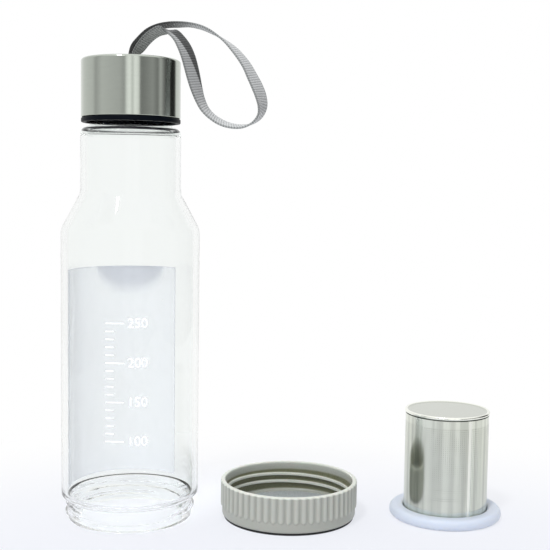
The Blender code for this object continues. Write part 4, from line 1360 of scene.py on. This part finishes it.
class BOTTLE_OT_film(Operator):
    """Curve the frosted film along the inside of the back wall"""

    bl_idname = "bottle.film"
    bl_label = "Frosted Film"

    def execute(self, context):
        sizes = context.scene.bottle_sizes
        bore = sizes.body_radius - sizes.wall
        outer = bore - 1.5 * FIT_GAP
        half_turn = sizes.film_width / outer / 2
        bottom = sizes.throat_height + sizes.throat_rise + FIT_GAP
        top = sizes.body_height - sizes.film_top_margin
        shape = bmesh.new()
        grid = []
        for i in range(FILM_ROWS + 1):
            height = bottom + (top - bottom) * i / FILM_ROWS
            ring = []
            for j in range(FILM_COLUMNS + 1):
                angle = sizes.film_angle + half_turn * (2 * j / FILM_COLUMNS - 1)
                ring.append(shape.verts.new((outer * math.cos(angle), outer * math.sin(angle), height)))
            grid.append(ring)
        for below, above in zip(grid, grid[1:]):
            for j in range(FILM_COLUMNS):
                shape.faces.new((below[j], below[j + 1], above[j + 1], above[j]))
        blank = source_object(mesh_from(shape, "film"))
        thickened(blank, "Sheet", sizes.film_thickness)
        tint = context.scene.finish_colours.film
        film = frosted_film(tint, top, sizes.film_angle - half_turn, sizes)
        finished(blank, "frosted_film", film, "bottle", ["back_film"], BOTTLE_X)
        return {"FINISHED"}


class BOTTLE_OT_scale(Operator):
    """Print the plain volume scale on the front of the glass"""

    bl_idname = "bottle.volume_scale"
    bl_label = "Volume Scale"

    def execute(self, context):
        sizes = context.scene.bottle_sizes
        ink = white_print(context.scene.finish_colours.ink)
        blank = source_object(number_meshes(sizes, sizes.scale_long + sizes.scale_short / 3))
        values = {
            "Material": ink,
            "Radius": sizes.body_radius + sizes.print_lift * sizes.print_thickness,
            "Front Angle": sizes.scale_angle,
            "First Height": sizes.scale_first,
            "Spacing": sizes.scale_spacing,
            "Line Width": sizes.scale_line,
            "Short": sizes.scale_short,
            "Long": sizes.scale_long,
            "Ticks": sizes.scale_ticks,
            "Long Every": sizes.scale_long_every,
        }
        add_nodes(blank, scale_tree(), values)
        thickened(blank, "Layer", sizes.print_thickness)
        finished(blank, "volume_scale", ink, "bottle", [], BOTTLE_X)
        return {"FINISHED"}


class BOTTLE_OT_cap(Operator):
    """Turn the steel shell with the strap's slot and the threaded black liner"""

    bl_idname = "bottle.cap"
    bl_label = "Steel Cap"

    def execute(self, context):
        sizes = context.scene.cap_sizes
        bottle = context.scene.bottle_sizes
        strap = context.scene.strap_sizes
        colours = context.scene.finish_colours
        liner_radius = sizes.liner_bore + sizes.liner_wall
        shell_bore = liner_radius + FIT_GAP
        shell_radius = shell_bore + sizes.shell_wall
        steel = brushed_steel(colours.steel, BOTTLE_X)
        black = black_plastic(colours.liner)
        self.build_shell(sizes, strap, shell_bore, shell_radius, steel)
        self.build_liner(sizes, bottle, liner_radius, shell_radius, black)
        dress("cap_gasket", clear_silicone(colours.silicone))
        dress("strap_retainer", steel)
        return {"FINISHED"}

    def build_shell(self, sizes, strap, bore, radius, steel):
        ceiling = SHELL_TOP - sizes.shell_wall
        inner = sizes.shell_round - sizes.shell_wall
        hem = sizes.shell_hem
        profile = joined(
            [(0, SHELL_TOP), (radius - sizes.shell_round - SUPPORT, SHELL_TOP)],
            rounded((radius, SHELL_TOP), sizes.shell_round, 90, 0, 8),
            straight((radius, SHELL_TOP - sizes.shell_round), (radius, SHELL_BOTTOM + hem), WALL_SPACING),
            rounded((radius, SHELL_BOTTOM), hem, 0, -90, 4),
            [(bore, SHELL_BOTTOM)],
            rounded((bore, ceiling), inner, 0, 90, 4),
            [(0, ceiling)],
        )
        blank = turned(profile, is_ring=False)
        slot_width = 2 * (strap.thickness + strap.strand_gap / 2 + sizes.slot_clearance)
        slot_length = strap.width + 2 * sizes.slot_clearance
        shape = bmesh.new()
        bmesh.ops.create_cube(shape, size=1)
        depth = sizes.shell_wall + 2 * CUT_OVERRUN
        bmesh.ops.scale(shape, vec=(slot_width, slot_length, depth), verts=shape.verts)
        bmesh.ops.translate(shape, vec=(0, 0, SHELL_TOP - sizes.shell_wall / 2), verts=shape.verts)
        cutter = source_object(mesh_from(shape, "slot"))
        cut = blank.modifiers.new("Slot", "BOOLEAN")
        cut.operation = "DIFFERENCE"
        cut.solver = "EXACT"
        cut.object = cutter
        finished(blank, "steel_shell", steel, "cap", ["cap_shell"], BOTTLE_X)
        bpy.data.objects.remove(cutter)

    def build_liner(self, sizes, bottle, radius, flange_radius, black):
        soft = sizes.liner_round
        flange_top = LINER_BOTTOM + sizes.flange_height
        plate_bottom = LINER_TOP - sizes.liner_plate
        profile = joined(
            [(0, LINER_TOP)],
            rounded((radius, LINER_TOP), soft, 90, 0, 4),
            [(radius, flange_top)],
            rounded((flange_radius, flange_top), soft, 90, 0, 4),
            rounded((flange_radius, LINER_BOTTOM), soft, 0, -90, 4),
            straight((sizes.liner_bore, LINER_BOTTOM), (sizes.liner_bore, plate_bottom)),
            [(0, plate_bottom)],
        )
        blank = turned(profile, is_ring=False)
        start = RIM_HEIGHT - bottle.neck_thread_start - bottle.pitch / 2
        run = (bottle.pitch, bottle.neck_thread_turns, -sizes.thread_depth)
        form = (sizes.thread_base, sizes.thread_crest, bottle.thread_fade)
        add_thread(blank, thread_tree(), black, sizes.liner_bore, start, 0.0, *run, *form)
        finished(blank, "threaded_liner", black, "cap", ["cap_liner"], BOTTLE_X)


class BOTTLE_OT_strap(Operator):
    """Weave the wrist strap along its route and its sewn end under the shell"""

    bl_idname = "bottle.strap"
    bl_label = "Wrist Strap"

    def execute(self, context):
        sizes = context.scene.strap_sizes
        colours = context.scene.finish_colours
        webbing = woven_webbing(colours.webbing, colours.selvedge, sizes)
        knuckle = sizes.thickness + sizes.strand_gap / 2
        hinge = Vector((BOTTLE_X, 0, SHELL_TOP + FIT_GAP + knuckle))
        foot_top = STRAP_FOOT_BOTTOM + sizes.foot_thickness
        tail = (foot_top - hinge.z) / sizes.reach
        tails = [(STRAP_ROUTE_SHARES[end][0], 0, tail, 0) for end in (0, -1)]
        shares = [tails[0], *STRAP_ROUTE_SHARES, tails[1]]
        route = [[share * sizes.reach for share in row[:3]] + [row[3]] for row in spline(shares, ROUTE_STEPS)]
        section = ribbon_section(sizes.width, sizes.thickness, sizes.selvedge, sizes.hollow)
        weave = weave_tree()
        values = {"Material": webbing, "Pitch": sizes.rib_pitch, "Depth": sizes.rib_depth}
        blank = ribbon(route, sizes.row_spacing, section, hinge)
        add_nodes(blank, weave, values)
        loop = finished(blank, "woven_strap", webbing, None, ["strap_loop"])
        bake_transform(loop)
        foot_middle = STRAP_FOOT_BOTTOM + sizes.foot_thickness / 2
        half = sizes.foot_length / 2
        foot_route = [[-half, 0, 0, 0], [0, 0, 0, 0], [half, 0, 0, 0]]
        foot_section = ribbon_section(sizes.width, sizes.foot_thickness, sizes.selvedge, sizes.hollow / 2)
        blank = ribbon(foot_route, sizes.row_spacing, foot_section, Vector((BOTTLE_X, 0, foot_middle)))
        add_nodes(blank, weave, values | {"Depth": sizes.rib_depth / 2})
        finished(blank, "strap_sewn_end", webbing, "cap", ["strap_root"])
        return {"FINISHED"}


class BOTTLE_OT_foot_cap(Operator):
    """Turn the foot cap, raise its grip ribs and inside thread, and lay its pad"""

    bl_idname = "bottle.foot_cap"
    bl_label = "Foot Cap"

    def execute(self, context):
        sizes = context.scene.foot_cap_sizes
        colours = context.scene.finish_colours
        plastic = grey_plastic(colours.plastic, colours.groove, colours.cap_floor, FOOT_CAP_X, sizes)
        rubber = black_rubber(colours.rubber)
        bottom = sizes.pad_proud
        floor = bottom + sizes.floor
        bore = sizes.radius - sizes.wall
        inner_edge = sizes.edge * sizes.inner_edge_share
        pad_outer = sizes.radius - sizes.pad_inset
        pad_inner = pad_outer - sizes.pad_width
        groove_top = sizes.pad_thickness + FIT_GAP
        rib_foot = bottom + sizes.band
        groove_share = (pad_outer + FIT_GAP - sizes.radius + sizes.corner) / sizes.corner
        groove_degrees = math.degrees(math.acos(groove_share))
        profile = joined(
            [(0, floor), (bore - sizes.fillet - SUPPORT, floor)],
            rounded((bore, floor), sizes.fillet, -90, 0),
            straight((bore, floor + sizes.fillet), (bore, sizes.height - inner_edge)),
            rounded((bore, sizes.height), inner_edge, 180, 90, 4),
            rounded((sizes.radius, sizes.height), sizes.edge, 90, 0, 4),
            straight((sizes.radius, sizes.height - sizes.edge), (sizes.radius, rib_foot), RIB_SPACING),
            arc((sizes.radius - sizes.corner, bottom + sizes.corner), sizes.corner, 0, -groove_degrees),
            [(pad_outer + FIT_GAP, groove_top)],
            [(pad_inner - FIT_GAP, groove_top), (pad_inner - FIT_GAP, bottom), (0, bottom)],
        )
        blank = turned(profile, is_ring=False, columns=sizes.ribs * sizes.columns_per_rib)
        start = sizes.height - sizes.thread_start
        run = (sizes.pitch, sizes.thread_turns, -sizes.thread_depth)
        form = (sizes.thread_base, sizes.thread_crest, sizes.thread_fade)
        add_thread(blank, thread_tree(), plastic, bore, start, 0.0, *run, *form)
        ribs = {
            "Material": plastic,
            "Lowest": rib_foot,
            "Fade": sizes.rib_fade,
            "Wall Radius": sizes.radius,
            "Edge": sizes.edge * 1.2,
            "Depth": sizes.rib_depth,
            "Count": sizes.ribs,
        }
        add_nodes(blank, rib_tree(), ribs)
        finished(blank, "ribbed_foot_cap", plastic, "foot_cap", ["foot_cap"], FOOT_CAP_X)
        pad_profile = joined(
            rounded((pad_outer, sizes.pad_thickness), sizes.pad_round, 90, 0, 4),
            rounded((pad_outer, 0), sizes.pad_round, 0, -90, 4),
            rounded((pad_inner, 0), sizes.pad_round, -90, -180, 4),
            rounded((pad_inner, sizes.pad_thickness), sizes.pad_round, 180, 90, 4),
        )
        pad = turned(pad_profile)
        finished(pad, "rubber_pad", rubber, "foot_cap", ["foot_cap_pad"], FOOT_CAP_X)
        return {"FINISHED"}


class BOTTLE_OT_infuser(Operator):
    """Turn the silicone ring, the basket's flange and end, and punch its wall"""

    bl_idname = "bottle.infuser"
    bl_label = "Infuser"

    def execute(self, context):
        sizes = context.scene.infuser_sizes
        colours = context.scene.finish_colours
        flange_bottom = sizes.seal_lip + FIT_GAP
        flange_top = flange_bottom + sizes.flange_thickness
        wall_bottom = flange_top + FIT_GAP
        wall_top = wall_bottom + sizes.height
        steel = basket_steel(colours.basket, INFUSER_X, sizes.seam_angle, sizes, wall_top)
        collar = sizes.radius - sizes.wall - FIT_GAP
        self.build_ring(sizes, flange_top, clear_silicone(colours.silicone))
        self.build_flange(sizes, steel, collar, flange_bottom, flange_top)
        self.build_wall(sizes, steel, wall_bottom)
        self.build_end(sizes, steel, collar, wall_top)
        return {"FINISHED"}

    def build_ring(self, sizes, flange_top, silicone):
        pocket = sizes.flange_radius + FIT_GAP
        edge = sizes.seal_edge
        throat = sizes.radius + FIT_GAP
        ceiling = flange_top + FIT_GAP
        profile = joined(
            rounded((sizes.seal_radius, sizes.seal_height), sizes.seal_round, 90, 0, 12),
            rounded((sizes.seal_radius, 0), sizes.seal_round, 0, -90, 12),
            rounded((sizes.seal_bore, 0), edge, -90, -180, 4),
            rounded((sizes.seal_bore, sizes.seal_lip), edge, 180, 90, 4),
            [(pocket, sizes.seal_lip), (pocket, ceiling), (throat, ceiling)],
            rounded((throat, sizes.seal_height), sizes.seal_crown, 180, 90),
        )
        finished(turned(profile), "silicone_ring", silicone, "seal", ["infuser_seal"], INFUSER_X)

    def build_flange(self, sizes, steel, collar, bottom, top):
        bore = collar - sizes.wall
        rim = sizes.flange_thickness / 2
        profile = joined(
            [(collar, top + sizes.collar_depth), (collar, top)],
            arc((sizes.flange_radius - rim, (bottom + top) / 2), rim, 90, -90, 8),
            [(bore, bottom), (bore, top + sizes.collar_depth)],
        )
        blank = turned(profile)
        finished(blank, "basket_flange_ring", steel, "basket", ["basket_flange"], INFUSER_X)

    def build_wall(self, sizes, steel, bottom):
        blank = source_object(tile_mesh(sizes.hole_share))
        values = {
            "Material": steel,
            "Radius": sizes.radius,
            "Bottom": bottom,
            "Height": sizes.height,
            "Border": sizes.border,
            "Seam Angle": sizes.seam_angle,
            "Columns": sizes.hole_columns,
            "Rows": sizes.hole_rows,
        }
        add_nodes(blank, perforation_tree(), values)
        thickened(blank, "Sheet", sizes.wall)
        finished(blank, "punched_wall", steel, "basket", ["basket_wall"], INFUSER_X)

    def build_end(self, sizes, steel, collar, wall_top):
        middle = wall_top + FIT_GAP + sizes.bead
        half = sizes.end_thickness / 2
        top = middle + half
        bore = collar - sizes.wall
        profile = joined(
            [(0, top), (collar - sizes.bead - SUPPORT, top), (collar - sizes.bead, top)],
            arc((sizes.radius - sizes.bead / 2, middle), sizes.bead, 130, -90, 14),
            [(collar, wall_top + FIT_GAP), (collar, wall_top - sizes.collar_depth)],
            [(bore, wall_top - sizes.collar_depth), (bore, middle - half), (0, middle - half)],
        )
        blank = turned(profile, is_ring=False)
        finished(blank, "beaded_end", steel, "basket", ["basket_end"], INFUSER_X)


class BOTTLE_OT_studio(Operator):
    """Set the pale floor, the soft light and the camera at the photograph's angle"""

    bl_idname = "bottle.studio"
    bl_label = "Studio"

    def execute(self, context):
        studio = context.scene.studio_settings
        colours = context.scene.finish_colours
        self.build_floor(studio, colours.floor, colours.near_floor)
        self.build_sky(context.scene, studio)
        self.build_key(studio)
        self.build_camera(context.scene, studio)
        context.scene.view_settings.view_transform = "Standard"
        return {"FINISHED"}

    def build_floor(self, studio, tint, near_shade_tint):
        half = studio.floor_size / 2
        corners = [(-half, -half, 0), (half, -half, 0), (half, half, 0), (-half, half, 0)]
        mesh = bpy.data.meshes.new("floor")
        mesh.from_pydata(corners, [], [(0, 1, 2, 3)])
        floor = placed("floor", mesh)
        made, graph = new_material("pale_floor")
        x, y, _ = graph.parts(graph.object_place())
        deep = y + studio.fade_shift
        aside = x * studio.fade_aspect
        distance = (aside * aside + deep * deep) ** 0.5
        fade = graph.smooth_step(distance, studio.fade_start, studio.fade_end)
        lit = graph.node("ShaderNodeBsdfDiffuse", None, {"Color": shade(tint)})
        # Painted shade: the floor's white is tinted bluish round the object and fades to white further off
        paper = graph.mix(fade, shade(near_shade_tint), WHITE)
        white = graph.node("ShaderNodeEmission", None, {"Color": paper, "Strength": 1.0})
        share = studio.floor_white + (1.0 - studio.floor_white) * fade
        path = graph.node("ShaderNodeLightPath", None, None, "Is Camera Ray")
        thrown = graph.maximum(path.other("Is Glossy Ray"), path.other("Is Transmission Ray"))
        mixed = graph.mix_shader(share * graph.maximum(path, thrown), lit, white)
        graph.node("ShaderNodeOutputMaterial", None, {"Surface": mixed})
        mesh.materials.append(made)

    def build_sky(self, scene, studio):
        sky = bpy.data.worlds.new("studio")
        sky.use_nodes = True
        sky.node_tree.nodes.clear()
        graph = Graph(sky.node_tree)
        x, y, z = graph.parts(graph.node("ShaderNodeTexCoord", None, None, "Generated"))
        turn = graph.math("ARCTAN2", x, 0.0 - y) / math.tau + 0.5
        overhead = graph.smooth_step(z, studio.overhead_start, studio.overhead_end)
        mirrored = graph.mix(overhead, self.band_colour(graph, turn, MIRRORED_BANDS), WHITE)
        through = graph.mix(overhead, self.band_colour(graph, turn, THROUGH_BANDS), WHITE)
        path = graph.node("ShaderNodeLightPath", None, None, "Is Camera Ray")
        level = (studio.sky, studio.sky, studio.sky, 1.0)
        glossy = graph.mix(path.other("Is Glossy Ray"), level, mirrored)
        clear = graph.mix(path.other("Is Transmission Ray"), glossy, through)
        colour_seen = graph.mix(path, clear, WHITE)
        light = graph.node("ShaderNodeBackground", None, {"Color": colour_seen, "Strength": 1.0})
        graph.node("ShaderNodeOutputWorld", None, {"Surface": light})
        scene.world = sky

    def band_colour(self, graph, turn, bands):
        return graph.ramp(turn, [(degrees / 360 + 0.5, grey) for degrees, grey in bands])

    def build_key(self, studio):
        lamp = bpy.data.lights.new("key", "SUN")
        lamp.energy = studio.key
        lamp.angle = studio.key_softness
        holder = placed("key", lamp)
        holder.rotation_euler = (math.pi / 2 - studio.key_elevation, 0, studio.key_turn)

    def build_camera(self, scene, studio):
        camera = bpy.data.cameras.new("camera")
        camera.lens = studio.lens
        camera.clip_start = studio.camera_clip
        holder = placed("camera", camera)
        holder.location = (studio.camera_side, -studio.camera_distance, studio.camera_height)
        turn = Matrix.Rotation(studio.camera_turn, 3, "Z")
        pitch = Matrix.Rotation(studio.camera_pitch, 3, "X")
        roll_turn = Matrix.Rotation(studio.camera_roll, 3, "Z")
        holder.rotation_euler = (turn @ pitch @ roll_turn).to_euler()
        scene.camera = holder


class BOTTLE_PT_pieces(Panel):
    """Lists the pieces of the bottle and their sizes"""

    bl_label = "Infuser Water Bottle"
    bl_space_type = "VIEW_3D"
    bl_region_type = "UI"
    bl_category = "Bottle"

    def draw(self, context):
        for piece in PIECES:
            self.layout.operator(piece.bl_idname)
        for group in GROUPS:
            settings = getattr(context.scene, group)
            box = self.layout.box()
            box.label(text=GROUPS[group].__doc__)
            for name in settings.__annotations__:
                box.prop(settings, name)


GROUPS = {
    "bottle_sizes": BottleSizes,
    "cap_sizes": CapSizes,
    "strap_sizes": StrapSizes,
    "foot_cap_sizes": FootCapSizes,
    "infuser_sizes": InfuserSizes,
    "finish_colours": FinishColours,
    "studio_settings": StudioSettings,
}
PIECES = (
    BOTTLE_OT_studio,
    BOTTLE_OT_glass,
    BOTTLE_OT_film,
    BOTTLE_OT_scale,
    BOTTLE_OT_cap,
    BOTTLE_OT_strap,
    BOTTLE_OT_foot_cap,
    BOTTLE_OT_infuser,
)


def register():
    for made in (*GROUPS.values(), *PIECES, BOTTLE_PT_pieces):
        bpy.utils.register_class(made)
    for name, group in GROUPS.items():
        setattr(bpy.types.Scene, name, PointerProperty(type=group))


def unregister():
    for name in GROUPS:
        delattr(bpy.types.Scene, name)
    for made in (BOTTLE_PT_pieces, *PIECES, *reversed(GROUPS.values())):
        bpy.utils.unregister_class(made)


def main():
    register()
    bpy.ops.bottle.studio()
    bpy.ops.bottle.glass()
    bpy.ops.bottle.film()
    bpy.ops.bottle.volume_scale()
    bpy.ops.bottle.cap()
    bpy.ops.bottle.strap()
    bpy.ops.bottle.foot_cap()
    bpy.ops.bottle.infuser()


if __name__ == "__main__":
    main()
